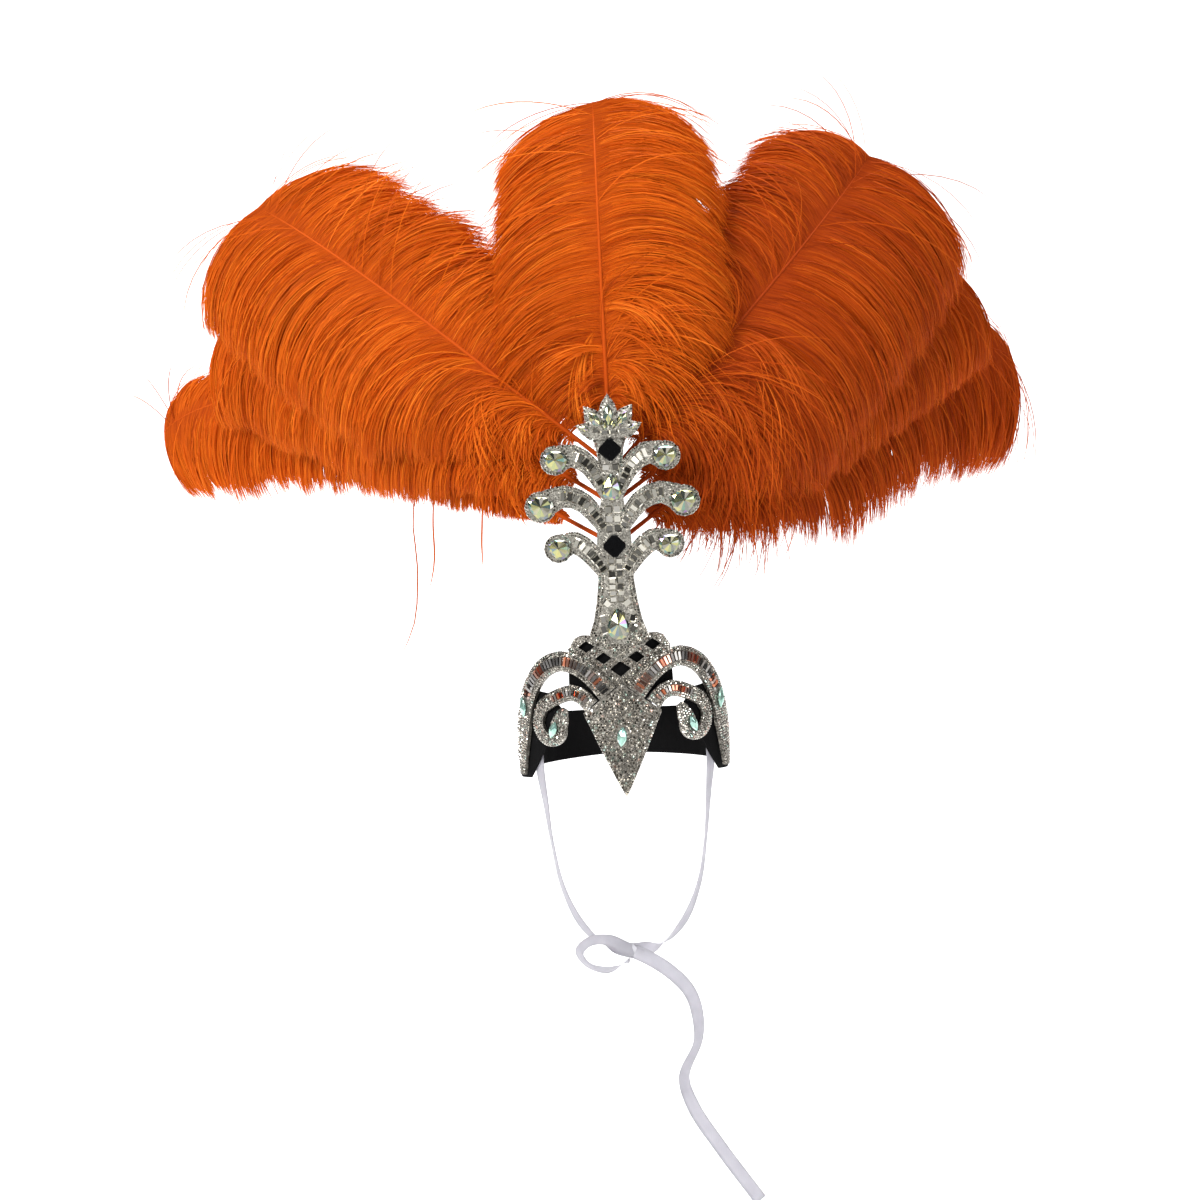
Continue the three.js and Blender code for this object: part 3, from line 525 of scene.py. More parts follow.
def stone_rows(name, band, rows, rng, keep_clear=()):
    """Rows of round stones on a band; rows has share across, radius, and the start and stop along it."""
    parts = []
    for share, radius, start, stop in rows:
        places, along, across, out, width = band_row(band, share, ROW_SPACING * radius, start, stop)
        parts.append((places, jittered(out, rng, BAND_JITTER), np.full(len(places), radius)))
    places = np.concatenate([part[0] for part in parts])
    out = np.concatenate([part[1] for part in parts])
    radii = np.concatenate([part[2] for part in parts])
    keep = np.ones(len(places), bool)
    for centre, reach in keep_clear:
        keep &= np.linalg.norm(places - np.asarray(centre), axis=1) > reach
    places, out, radii = places[keep], out[keep], radii[keep]
    first, second = side_pair(out)
    tones = rng.random(len(places))
    return set_stones(name, round_stone(), places - STONE_SINK * out, first, second, out, radii[:, None],
                      tones, rhinestone)


# Grey tints for the foiled backs, and orange stops that are a painted reflection of the plumes.
baguette_painted_reflection = stone_material("baguette_painted_reflection", 0.1, [
    (0.0, (0.34, 0.33, 0.32)),
    (0.5, (0.56, 0.53, 0.50)),
    (0.72, (0.66, 0.40, 0.32)),
    (1.0, (0.78, 0.26, 0.13)),
])
ARCH_STONE_AT = (80.5, 78)
for side, hand in ((-1, "left"), (1, "right")):
    dress(f"arch_{hand}", silver_cloth)
    rng = np.random.default_rng(20 + side)
    band = wall_band(ARCH_ROWS, side)
    seat = np.array(CROWN_THICK + MARQUISE_SEAT)
    marquise = on_wall(np.array(side * ARCH_STONE_AT[0]), ARCH_STONE_AT[1], seat)
    rows = [
        (-0.88, 1.15, 0.005, 0.99),
        (-0.66, 1.05, 0.005, 0.95),
        (0.66, 1.05, 0.005, 0.95),
        (0.88, 1.15, 0.005, 0.99),
    ]
    rows += [(share, 1.1, 0.62, 0.93) for share in (-0.4, -0.13, 0.13, 0.4)]
    stone_rows(f"arch_{hand}_stones", band, rows, rng, [(marquise, 8.2)])
    places, along, across, out, width = band_row(band, 0, BAGUETTE_PITCH, 0.01, 0.61)
    out = jittered(out, rng, BAGUETTE_JITTER)
    across = unit(np.cross(out, along))
    # Painted reflection: a wave of orange along the row stands for the plumes seen in the glass.
    orange_reflection_wave = 0.5 + 0.5 * np.sin(np.arange(len(places)) * 0.7 + side)
    tones = np.clip(0.25 + 0.5 * orange_reflection_wave + rng.normal(0, 0.2, len(places)), 0, 1)
    set_stones(f"arch_{hand}_baguettes", bar_stone(), places - BAGUETTE_SINK * out, along, across, out,
               np.array(BAGUETTE), tones, baguette_painted_reflection)


# Scrolls: narrower padded bands below the arches, wound into a volute at each side that a drop-shaped
# pad nearly fills. Baguettes run along the arm, and close rows of round rhinestones cover the rest.
SCROLL_ARM_ROWS = [(25.9, 77.6, 13.5), (32, 85.5, 13.5), (41, 89.5, 13.5), (51.5, 87, 13)]
VOLUTE_X = 56.5
VOLUTE_Z = 58.5
VOLUTE_POINTS = 10
VOLUTE_START = 62
VOLUTE_TURN = 300
VOLUTE_END_RADIUS = 7
VOLUTE_SHRINK = 16
VOLUTE_NARROW = 0.85
VOLUTE_BAND = 12.5
VOLUTE_TAPER = 5.5
PAD_INSET = 0.5
SCROLL_BAGUETTE_PITCH = 3.0
share = np.arange(VOLUTE_POINTS) / (VOLUTE_POINTS - 1)
angle = np.radians(VOLUTE_START - VOLUTE_TURN * share)
radius = VOLUTE_END_RADIUS + VOLUTE_SHRINK * (1 - share) ** 3
volute_rows = np.stack([
    VOLUTE_X + VOLUTE_NARROW * radius * np.cos(angle),
    VOLUTE_Z + radius * np.sin(angle),
    VOLUTE_BAND - VOLUTE_TAPER * share,
], axis=1)
SCROLL_ROWS = np.concatenate([np.array(SCROLL_ARM_ROWS), volute_rows])
VOLUTE_PAD_ROWS = [(47.5, 76, 5), (50, 71, 12), (52.5, 64, 16), (55, 57, 16), (57, 50, 10)]
SCROLL_BAGUETTE = (2.6, 5.4, 1.6)
for side, hand in ((-1, "left"), (1, "right")):
    dress(f"scroll_{hand}", silver_cloth)
    rng = np.random.default_rng(30 + side)
    band = wall_band(SCROLL_ROWS, side)
    marquise = on_wall(np.array(side * VOLUTE_X), VOLUTE_Z, np.array(CROWN_THICK + MARQUISE_SEAT))
    rows = [(share, 1.1, 0, 0.97) for share in (-0.82, -0.52, 0.52, 0.82)]
    rows += [(share, 1.15, 0.36, 0.95) for share in (-0.2, 0.2)]
    stone_rows(f"scroll_{hand}_stones", band, rows, rng, [(marquise, 5.2)])
    pad = wall_band(VOLUTE_PAD_ROWS, side)
    pad["rise"] = CROWN_THICK - PAD_INSET
    rows = [(share, 1.1, 0.02, 0.98) for share in (-0.84, -0.52, -0.18, 0.18, 0.52, 0.84)]
    stone_rows(f"scroll_{hand}_pad_stones", pad, rows, rng, [(marquise, 6.4)])
    places, along, across, out, width = band_row(band, 0, SCROLL_BAGUETTE_PITCH, 0.04, 0.35)
    out = jittered(out, rng, BAGUETTE_JITTER)
    across = unit(np.cross(out, along))
    # The orange end of these tones is a painted reflection of the plumes.
    tones = np.clip(rng.normal(0.55, 0.25, len(places)), 0, 1)
    set_stones(f"scroll_{hand}_baguettes", bar_stone(), places - BAGUETTE_SINK * out, along, across, out,
               np.array(SCROLL_BAGUETTE), tones, baguette_painted_reflection)


# Lattice collar: a curved plate with two lobes behind the arches, cut through with five diamonds and
# covered with rhinestones along its bars.
# Columns: distance from the middle, lower edge and upper edge in mm.
LATTICE_ROWS = np.array([
    (0, 90, 131), (14, 97, 133), (22, 103, 136.5), (31, 110, 138), (38, 116, 135), (43, 121, 127),
], float)
# Columns: x, z, half width and half height of a diamond in mm.
DIAMONDS = [(0, 107.8, 9, 6.7), (-14, 117.2, 7, 5), (14, 117.2, 7, 5), (-28, 127.4, 7, 5), (28, 127.4, 7, 5)]
LATTICE_PITCH = 2.3
LATTICE_STONE = 1.06
LATTICE_FACE = -0.5
dress("lattice_collar", silver_cloth)
rng = np.random.default_rng(41)
reach = LATTICE_ROWS[-1, 0]
grid = hex_grid((-reach, LATTICE_ROWS[0, 1]), (reach, LATTICE_ROWS[:, 2].max()), LATTICE_PITCH)
low = np.interp(np.abs(grid[:, 0]), LATTICE_ROWS[:, 0], LATTICE_ROWS[:, 1])
high = np.interp(np.abs(grid[:, 0]), LATTICE_ROWS[:, 0], LATTICE_ROWS[:, 2])
keep = (grid[:, 1] > low + 1.2) & (grid[:, 1] < high - 1.1)
for x, z, half_width, half_height in DIAMONDS:
    keep &= np.abs(grid[:, 0] - x) / (half_width + 1.5) + np.abs(grid[:, 1] - z) / (half_height + 1.3) > 1
foot_low = np.interp(np.abs(grid[:, 0]), [0, 19.5, 24.4], [114, 128, 138])
keep &= grid[:, 1] < foot_low - 0.3
grid = grid[keep]
out = jittered(wall_normal(grid[:, 0]), rng, STONE_JITTER)
first, second = side_pair(out)
places = on_wall(grid[:, 0], grid[:, 1], np.full(len(grid), LATTICE_FACE - 0.1))
set_stones("lattice_stones", round_stone(), places, first, second, out,
           np.full((len(grid), 1), LATTICE_STONE), rng.random(len(grid)), rhinestone)


# Felt: black wool felt, cut from sheet, for the lattice lining, the strap over the top and the head band.
# It is matt with a fine nap, slightly paler where the fibres stand up.
def felt_material():
    material, shader = new_material("black_felt", (0.012, 0.012, 0.013), 0.95)
    shader.inputs["Specular IOR Level"].default_value = 0.12
    tree = material.node_tree.nodes
    place = tree.new("ShaderNodeTexCoord")
    nap = tree.new("ShaderNodeTexNoise")
    nap.inputs["Scale"].default_value = 1400
    nap.inputs["Detail"].default_value = 3
    tint = tree.new("ShaderNodeMix")
    tint.data_type = "RGBA"
    tint.inputs["A"].default_value = (0.0015, 0.0015, 0.0018, 1)
    tint.inputs["B"].default_value = (0.008, 0.0078, 0.008, 1)
    bump = tree.new("ShaderNodeBump")
    bump.inputs["Strength"].default_value = 0.5
    bump.inputs["Distance"].default_value = 0.3 * MM
    node_link(material, place.outputs["Object"], nap.inputs["Vector"])
    node_link(material, nap.outputs["Fac"], tint.inputs["Factor"])
    node_link(material, tint.outputs["Result"], shader.inputs["Base Color"])
    node_link(material, nap.outputs["Fac"], bump.inputs["Height"])
    node_link(material, bump.outputs["Normal"], shader.inputs["Normal"])
    return material


felt = felt_material()
for node_name in ("lattice_lining", "crown_strap", "head_band"):
    dress(node_name, felt)


# Spire: a flat upright plate of foam board under glitter cloth, edged with rhinestones. Mirror tiles run
# along the middle of the arms and in pairs up the column.
FORWARD = np.array([0.0, -1.0, 0.0])
SPIRE_FRONT_Y = -101.9
SPIRE_RIDGE = 0.8
# Columns: x, z and width of an arm in mm.
ARM_ROWS = {
    "top": [(3, 251, 10), (11, 268, 14), (20, 281.5, 17), (33, 288.5, 19.5), (46.6, 285, 23)],
    "middle": [(3, 218, 11), (14, 237, 15), (27, 250.5, 17.5), (43, 254.5, 19), (60.5, 246.5, 23)],
    "bottom": [(5, 184, 13), (15, 199, 16), (24, 209.5, 18), (34, 215.5, 19), (47, 211, 22)],
}
PAD_RADIUS = {"top": 12.6, "middle": 13.4, "bottom": 12.2}
# Columns: z and half width of the column in mm.
COLUMN_ROWS = np.array([
    (114, 1.5), (128, 19.5), (138, 24.4), (149, 20.4), (164, 17.4), (183, 15), (200, 15.5),
    (222, 14), (250, 9.6), (275, 9.6), (293, 11.5), (305, 15.5),
])
TILE_THICK = 1.1
TILE_PITCH = 5.0
TILE_GAP = 0.4
TILE_SHARE = 0.46
TILE_TILT = 0.16
PAD_STONES = 26
PAD_STONE_RADIUS = 1.12
PAD_STONE_INSET = 1.3
PAD_RAISE = 1.0
SPIRE_DARK = (0.14, 0.132, 0.112)
SPIRE_LIGHT = (0.58, 0.55, 0.48)
spire_cloth = glitter_material("spire_glitter_cloth", SPIRE_DARK, SPIRE_LIGHT, GLITTER_PER_METRE)
mirror_tile = stone_material("mirror_tile", 0.05, [
    (0.0, (0.46, 0.44, 0.38)),
    (0.6, (0.74, 0.71, 0.62)),
    (1.0, (0.94, 0.91, 0.82)),
])
dress("spire", spire_cloth)


def flat_band(rows, side):
    """Frames along an arm on the front of the spire."""
    rows = np.asarray(rows, float)
    even = smooth_rows(np.stack([side * rows[:, 0], rows[:, 2], rows[:, 1]], axis=1), 120)
    point = np.stack([even[:, 0], np.full(len(even), SPIRE_FRONT_Y), even[:, 2]], axis=1)
    along = unit(np.gradient(point, axis=0))
    normal = np.broadcast_to(FORWARD, point.shape)
    return {"point": point, "along": along, "across": unit(np.cross(normal, along)), "normal": normal,
            "width": even[:, 1], "rise": 0.0, "puff": SPIRE_RIDGE, "flat": 0.0}


tile_parts = []
rng = np.random.default_rng(51)
for level, rows in ARM_ROWS.items():
    for side, hand in ((-1, "left"), (1, "right")):
        band = flat_band(rows, side)
        end = np.array([side * rows[-1][0], SPIRE_FRONT_Y - PAD_RAISE, rows[-1][1]])
        edge = [(share, 1.05, 0.24, 0.88) for share in (-0.87, 0.87)]
        edge += [(share, 0.75, 0.3, 0.86) for share in (-0.62, 0.62)]
        stone_rows(f"arm_stones_{level}_{hand}", band, edge, rng, [(end, PAD_RADIUS[level] + 0.6)])
        places, along, across, out, width = band_row(band, 0, TILE_PITCH, 0.12, 0.76)
        even = np.ones(len(places))
        size = np.stack([even * (TILE_PITCH - TILE_GAP), TILE_SHARE * width, even * TILE_THICK], axis=1)
        tile_parts.append((places, along, across, out, size))
        turn = np.linspace(0, 2 * np.pi, PAD_STONES, endpoint=False)
        ring = PAD_RADIUS[level] - PAD_STONE_INSET
        ring_places = end + ring * np.stack([np.cos(turn), np.zeros_like(turn), np.sin(turn)], axis=1)
        out = jittered(np.broadcast_to(FORWARD, ring_places.shape), rng, STONE_JITTER)
        first, second = side_pair(out)
        set_stones(f"pad_stones_{level}_{hand}", round_stone(), ring_places, first, second, out,
                   np.full((len(turn), 1), PAD_STONE_RADIUS), rng.random(len(turn)), rhinestone)

# Columns: x, z, width, height and turn in degrees of a mirror tile on the column, mm.
COLUMN_TILES = [(side * 3.3, z, 6.0, 5.0, 0) for z in np.arange(166, 199, 5.4) for side in (-1, 1)]
COLUMN_TILES += [(side * 8.4, 163, 7, 6.2, side * -38) for side in (-1, 1)]
COLUMN_TILES += [(side * 3.6, z, 6.4, 7, 0) for z in (226, 233.8, 241.6) for side in (-1, 1)]
for z, turn in ((150, 12), (141, 20)):
    COLUMN_TILES += [(side * 12.5, z, 5.2, 7.6, side * turn) for side in (-1, 1)]
COLUMN_TILES += [(side * 4.2, 277, 6.6, 6, 0) for side in (-1, 1)]
for x, z, width, height, turn in COLUMN_TILES:
    a = math.radians(turn)
    half = np.interp(z, COLUMN_ROWS[:, 0], COLUMN_ROWS[:, 1])
    y = SPIRE_FRONT_Y - SPIRE_RIDGE * (1 - min(1, abs(x) / half))
    tile_parts.append((np.array([[x, y, z]]), np.array([[math.sin(a), 0, math.cos(a)]]),
                       np.array([[math.cos(a), 0, -math.sin(a)]]), np.array([[0.0, -1.0, 0.0]]),
                       np.array([[height, width, TILE_THICK]])))
places, along, across, out, sizes = (np.concatenate(columns) for columns in zip(*tile_parts))
out = jittered(out, rng, TILE_TILT)
across = unit(np.cross(out, along))
along = np.cross(across, out)
set_stones("spire_mirror_tiles", bar_stone(), places - 0.1 * out, along, across, out, sizes,
           rng.random(len(places)), mirror_tile)

# Columns: distance from the column's edge, radius, lower end and upper end of a line of stones in mm.
COLUMN_LINES = [(1.5, 1.2, 129, 196), (4.2, 0.95, 131, 194), (1.5, 1.1, 224, 243), (1.6, 1.1, 281, 303)]
column_parts = []
for side in (-1, 1):
    for inset, radius, low, high in COLUMN_LINES:
        z = np.arange(low, high, 2.1 * radius)
        x = side * (np.interp(z, COLUMN_ROWS[:, 0], COLUMN_ROWS[:, 1]) - inset)
        column_parts.append(np.stack([x, z, np.full_like(z, radius)], axis=1))
foot = hex_grid((-24, 115), (24, 140), 2.5)
half = np.interp(foot[:, 1], COLUMN_ROWS[:, 0], COLUMN_ROWS[:, 1])
around = (foot[:, 0] / 10.6) ** 2 + ((foot[:, 1] - 144) / 16) ** 2 > 1
foot = foot[(np.abs(foot[:, 0]) < half - 2.6) & around]
column_parts.append(np.column_stack([foot, np.full(len(foot), 1.1)]))
spots = np.concatenate(column_parts)
half = np.interp(spots[:, 1], COLUMN_ROWS[:, 0], COLUMN_ROWS[:, 1])
y = SPIRE_FRONT_Y - SPIRE_RIDGE * (1 - np.minimum(1, np.abs(spots[:, 0]) / half))
places = np.stack([spots[:, 0], y, spots[:, 1]], axis=1)
out = jittered(np.broadcast_to(FORWARD, places.shape), rng, STONE_JITTER)
first, second = side_pair(out)
set_stones("column_stones", round_stone(), places, first, second, out, spots[:, 2:3],
           rng.random(len(spots)), rhinestone)


# Finial: a small lotus of five keeled petals under glitter cloth at the top of the column, with small
# rhinestones along the petals' edges.
FINIAL_Z = 302
FINIAL_FACE_Y = -103.1
PETAL_EDGE_RAISE = 1.7
PETAL_JITTER = 0.15
# Columns: tilt in degrees from upright, length and half width of a petal in mm.
PETALS = [(0, 37, 9), (-37, 34, 8.6), (37, 34, 8.6), (-68, 30, 7.6), (68, 30, 7.6)]
dress("finial_lotus", spire_cloth)
rng = np.random.default_rng(61)
tilt = np.radians([petal[0] for petal in PETALS])
length = np.array([petal[1] for petal in PETALS])
half = np.array([petal[2] for petal in PETALS])
petal_up = np.stack([np.sin(tilt), np.zeros(5), np.cos(tilt)], axis=1)
petal_across = np.stack([np.cos(tilt), np.zeros(5), -np.sin(tilt)], axis=1)
# Columns: share of a petal's length and of its half width.
PETAL_EDGE = [(0.42, 0.78), (0.55, 0.8), (0.68, 0.62), (0.79, 0.44), (0.89, 0.2)]
PETAL_STONE_RADIUS = 0.95
petal_root = np.array([0, FINIAL_FACE_Y - PETAL_EDGE_RAISE, FINIAL_Z])
spots = []
for share, beside in PETAL_EDGE:
    for hand in (-1, 1):
        across = petal_across * (hand * beside * half)[:, None]
        spots.append(petal_root + petal_up * (share * length)[:, None] + across)
places = np.concatenate(spots)
out = jittered(np.broadcast_to(FORWARD, places.shape), rng, PETAL_JITTER)
first, second = side_pair(out)
set_stones("finial_stones", round_stone(), places, first, second, out,
           np.full((len(places), 1), PETAL_STONE_RADIUS), rng.random(len(places)), rhinestone)


# Main stones: cut crystal with an iridescent coat on the arms and column, polished black squares between
# the arms, and pale green marquises on the crown. Each is glued on by its flat foiled back.
STONE_TIERS = ((0.93, 0.0), (1.0, 0.26), (0.80, 0.55), (0.10, 1.0))
TABLE_TIERS = ((0.95, 0.0), (1.0, 0.30), (0.985, 0.86), (0.93, 1.0))


def stone_outline(shape, sides):
    """x and z of a stone's girdle, one unit in half width and half height."""
    k = np.arange(sides)
    a = 2 * np.pi * (k + 0.5) / sides
    c, s = np.cos(a), np.sin(a)
    if shape == "pear":
        return c * (1 - 0.35 * s), s
    if shape == "marquise":
        return c * np.abs(c), s
    corner = 2 * np.pi * (k // 2 + np.where(k % 2, 0.12, -0.12)) / 4
    return np.cos(corner), np.sin(corner)


def cut_stone(name, node_name, shape, sides, place, axes, half_width, half_height, depth, material,
              tiers=STONE_TIERS):
    """A faceted stone lofted through four tiers, with the third one turned half a facet."""
    x, z = stone_outline(shape, sides)
    bm = bmesh.new()
    rings = []
    for tier, (size, height) in enumerate(tiers):
        mid_x, mid_z = ((x + np.roll(x, -1)) / 2, (z + np.roll(z, -1)) / 2) if tier == 2 else (x, z)
        front = np.full(sides, height * depth)
        flat = np.stack([size * half_width * mid_x, front, size * half_height * mid_z], axis=1)
        ring = (np.asarray(place) + flat @ np.asarray(axes)) * MM
        rings.append([bm.verts.new(point) for point in ring])
    bm.faces.new(rings[0])
    bm.faces.new(rings[-1])
    for k in range(sides):
        n = (k + 1) % sides
        bm.faces.new((rings[0][k], rings[0][n], rings[1][n], rings[1][k]))
        bm.faces.new((rings[1][k], rings[1][n], rings[2][k]))
        bm.faces.new((rings[1][n], rings[2][n], rings[2][k]))
        bm.faces.new((rings[2][k], rings[2][n], rings[3][n]))
        bm.faces.new((rings[3][k], rings[2][k], rings[3][n]))
    piece = add_piece(name, bm, material)
    if node_name:
        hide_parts(node_name)
    return piece


def crystal_material(name, stops, roughness, metallic, film):
    """Coated crystal: each facet takes a tint of its own from the way it faces, partly the stone's own
    colour and partly painted reflection of light on its facets; a thin film is set as well.
    """
    material, shader = new_material(name, stops[0], roughness, metallic)
    shader.inputs["Thin Film Thickness"].default_value = film
    shader.inputs["Thin Film IOR"].default_value = 1.5
    tree = material.node_tree.nodes
    shape = tree.new("ShaderNodeNewGeometry")
    spread = tree.new("ShaderNodeTexNoise")
    spread.inputs["Scale"].default_value = 5.5
    spread.inputs["Detail"].default_value = 1
    ramp = tree.new("ShaderNodeValToRGB")
    while len(ramp.color_ramp.elements) < len(stops):
        ramp.color_ramp.elements.new(0.5)
    for k, (element, colour) in enumerate(zip(ramp.color_ramp.elements, stops)):
        element.position = 0.3 + 0.4 * k / (len(stops) - 1)
        element.color = (*colour, 1)
    # Painted reflection: facets turned different ways get lighter or darker tints, standing for the light
    # they catch.
    node_link(material, shape.outputs["True Normal"], spread.inputs["Vector"])
    node_link(material, spread.outputs["Fac"], ramp.inputs["Fac"])
    node_link(material, ramp.outputs["Color"], shader.inputs["Base Color"])
    return material


aurora = crystal_material("aurora_crystal", [
    (0.05, 0.05, 0.045),
    (0.20, 0.24, 0.20),
    (0.42, 0.40, 0.36),
    (0.64, 0.60, 0.24),
    (0.19, 0.36, 0.31),
    (0.33, 0.22, 0.40),
], 0.09, 0.9, 380)
mint = crystal_material("mint_crystal", [
    (0.24, 0.46, 0.38),
    (0.56, 0.86, 0.72),
    (0.40, 0.70, 0.62),
    (0.80, 0.92, 0.84),
], 0.07, 0.75, 300)


def jet_material():
    """Polished black glass with faint marks of wear in its shine."""
    material, shader = new_material("jet", (0.002, 0.002, 0.0024), 0.22)
    shader.inputs["Specular IOR Level"].default_value = 0.2
    tree = material.node_tree.nodes
    place = tree.new("ShaderNodeTexCoord")
    wear = tree.new("ShaderNodeTexNoise")
    wear.inputs["Scale"].default_value = 420
    shine = tree.new("ShaderNodeMapRange")
    shine.inputs["To Min"].default_value = 0.14
    shine.inputs["To Max"].default_value = 0.32
    node_link(material, place.outputs["Object"], wear.inputs["Vector"])
    node_link(material, wear.outputs["Fac"], shine.inputs["Value"])
    node_link(material, shine.outputs["Result"], shader.inputs["Roughness"])
    return material


jet = jet_material()

# Columns: tilt of a finial petal in degrees, share of its length, half width and half height of its stone.
FINIAL_CRYSTALS = [
    (0, 0.56, 4.4, 9),
    (-37, 0.56, 3.9, 7.6),
    (37, 0.56, 3.9, 7.6),
    (-68, 0.66, 2.6, 5.4),
    (68, 0.66, 2.6, 5.4),
    (-20, 0.34, 2.4, 4.4),
    (20, 0.34, 2.4, 4.4),
]
FINIAL_LENGTH = 34
FINIAL_STONE_Y = FINIAL_FACE_Y - 2.6
FINIAL_STONE_DEPTH = 3
for number, (turn, share, half_width, half_height) in enumerate(FINIAL_CRYSTALS):
    a = math.radians(turn)
    up = np.array([math.sin(a), 0, math.cos(a)])
    axes = [(math.cos(a), 0, -math.sin(a)), (0, -1, 0), up]
    place = np.array([0, FINIAL_STONE_Y, FINIAL_Z]) + up * share * FINIAL_LENGTH
    cut_stone(f"finial_crystal_{number}", None, "marquise", 10, place, axes, half_width, half_height,
              FINIAL_STONE_DEPTH, aurora)
FINIAL_BARS = np.array([(-11, 307.6), (-3.7, 306.2), (3.7, 306.2), (11, 307.6)])
places = np.column_stack([FINIAL_BARS[:, 0], np.full(4, FINIAL_STONE_Y), FINIAL_BARS[:, 1]])
level = np.tile([1.0, 0.0, 0.0], (4, 1))
front = np.tile([0.0, -1.0, 0.0], (4, 1))
set_stones("finial_bars", bar_stone(), places, level, np.tile([0.0, 0.0, 1.0], (4, 1)), front,
           np.array([7, 3.2, 1.5]), np.array([0.4, 0.9, 0.6, 1.0]), mirror_tile)

STONE_SEAT_Y = -103.3
ARM_STONE_TILT = 62
ARM_STONE_INSET = 3.8
ARM_STONE_DEPTH = 4.4
JET_HALF = 9.6
JET_DEPTH = 3
MARQUISE_DEPTH = 3.4
for level, rows in ARM_ROWS.items():
    for side, hand in ((-1, "left"), (1, "right")):
        a = math.radians(side * ARM_STONE_TILT)
        axes = [(math.cos(a), 0, -math.sin(a)), (0, -1, 0), (math.sin(a), 0, math.cos(a))]
        size = PAD_RADIUS[level] - ARM_STONE_INSET
        place = (side * rows[-1][0], STONE_SEAT_Y, rows[-1][1])
        cut_stone(f"arm_crystal_{level}_{hand}", f"arm_stone_{level}_{hand}", "pear", 14, place, axes,
                  0.95 * size, 1.15 * size, ARM_STONE_DEPTH, aurora)
UPRIGHT = [(1, 0, 0), (0, -1, 0), (0, 0, 1)]
# Columns: name of a pear stone, its height, half width, half height and depth in mm.
PEAR_STONES = [("drop", 260.4, 8, 11, 5), ("base", 145.5, 8.8, 13, 5.4)]
for place_name, z, half_width, half_height, depth in PEAR_STONES:
    cut_stone(f"{place_name}_crystal", f"{place_name}_stone", "pear", 16, (0, STONE_SEAT_Y, z), UPRIGHT,
              half_width, half_height, depth, aurora)
for place_name, z in (("upper", 291.5), ("lower", 210.8)):
    cut_stone(f"jet_square_{place_name}", f"black_square_{place_name}", "square", 8, (0, STONE_SEAT_Y, z),
              UPRIGHT, JET_HALF, JET_HALF, JET_DEPTH, jet, TABLE_TIERS)

# Columns: name of the node, x and z on the crown wall, half width and half height in mm, turn in degrees.
MARQUISES = [
    ("peak_marquise", -1.5, 51, 4.2, 8.5, 8),
    ("arch_marquise_left", -80.5, 78, 4.6, 9, -8),
    ("arch_marquise_right", 80.5, 78, 4.6, 9, 8),
    ("scroll_marquise_left", -56.5, 58.5, 4, 7.5, 25),
    ("scroll_marquise_right", 56.5, 58.5, 4, 7.5, -25),
]
for node_name, x, z, half_width, half_height, turn in MARQUISES:
    normal = wall_normal(np.array(x))
    level = np.array([-normal[1], normal[0], 0])
    a = math.radians(turn)
    upright = np.array([0, 0, 1.0])
    axes = [level * math.cos(a) - upright * math.sin(a), normal, level * math.sin(a) + upright * math.cos(a)]
    place = on_wall(np.array(x), z, np.array(CROWN_THICK + CROWN_PUFF + 0.4))
    cut_stone(node_name.replace("marquise", "mint_marquise"), node_name, "marquise", 12, place, axes,
              half_width, half_height, MARQUISE_DEPTH, mint)


# Plume holder: a plain moulded block behind the column, painted grey. The quills are glued into it, and
# the column hides it from the front.
def holder_material():
    material, shader = new_material("holder_plastic", (0.30, 0.30, 0.31), 0.55)
    tree = material.node_tree.nodes
    place = tree.new("ShaderNodeTexCoord")
    grain = tree.new("ShaderNodeTexNoise")
    grain.inputs["Scale"].default_value = 700
    bump = tree.new("ShaderNodeBump")
    bump.inputs["Strength"].default_value = 0.2
    bump.inputs["Distance"].default_value = 0.2 * MM
    node_link(material, place.outputs["Object"], grain.inputs["Vector"])
    node_link(material, grain.outputs["Fac"], bump.inputs["Height"])
    node_link(material, bump.outputs["Normal"], shader.inputs["Normal"])
    return material


dress("plume_holder", holder_material())


# Plumes: dyed ostrich feathers, each a curved quill with thousands of soft flat barbs that leave it at a
# slant, bend over and fold back at their ends. Loose tufts stand out near the roots, and some barbs stray.
QUILL_ROOT_Y = -88
QUILL_STEPS = 96
QUILL_ROOT_RADIUS = 2.0
QUILL_TIP_RADIUS = 0.6
QUILL_SIDES = 8
BARE_SHARE = 0.13
FIRST_BARB = 0.09
# Painted shade: how far the barb tone is lowered near the roots of the plumes.
ROOT_PAINTED_SHADE = 0.2
UNDER_BARBS = 320
UNDER_WIDTH = 3.0
BARB_STEPS = 9
BARB_OPENING = 22
BARB_END_ANGLE = 130
BARB_BEND = 30
BARB_HOOK = 70
BARBS_PER_SIDE = 2700
LOCKS_PER_SIDE = 60
TUFT_BARBS = 26
STRAY_WIDTH = 1.5
STRAY_TONE = 0.5
PLUME_COLUMNS = (
    "name", "x", "z", "length", "lean", "turn", "back", "curl", "left", "right",
    "slant_left", "slant_right", "sag", "full", "tip", "fray_left", "fray_right", "tufts", "deep",
)
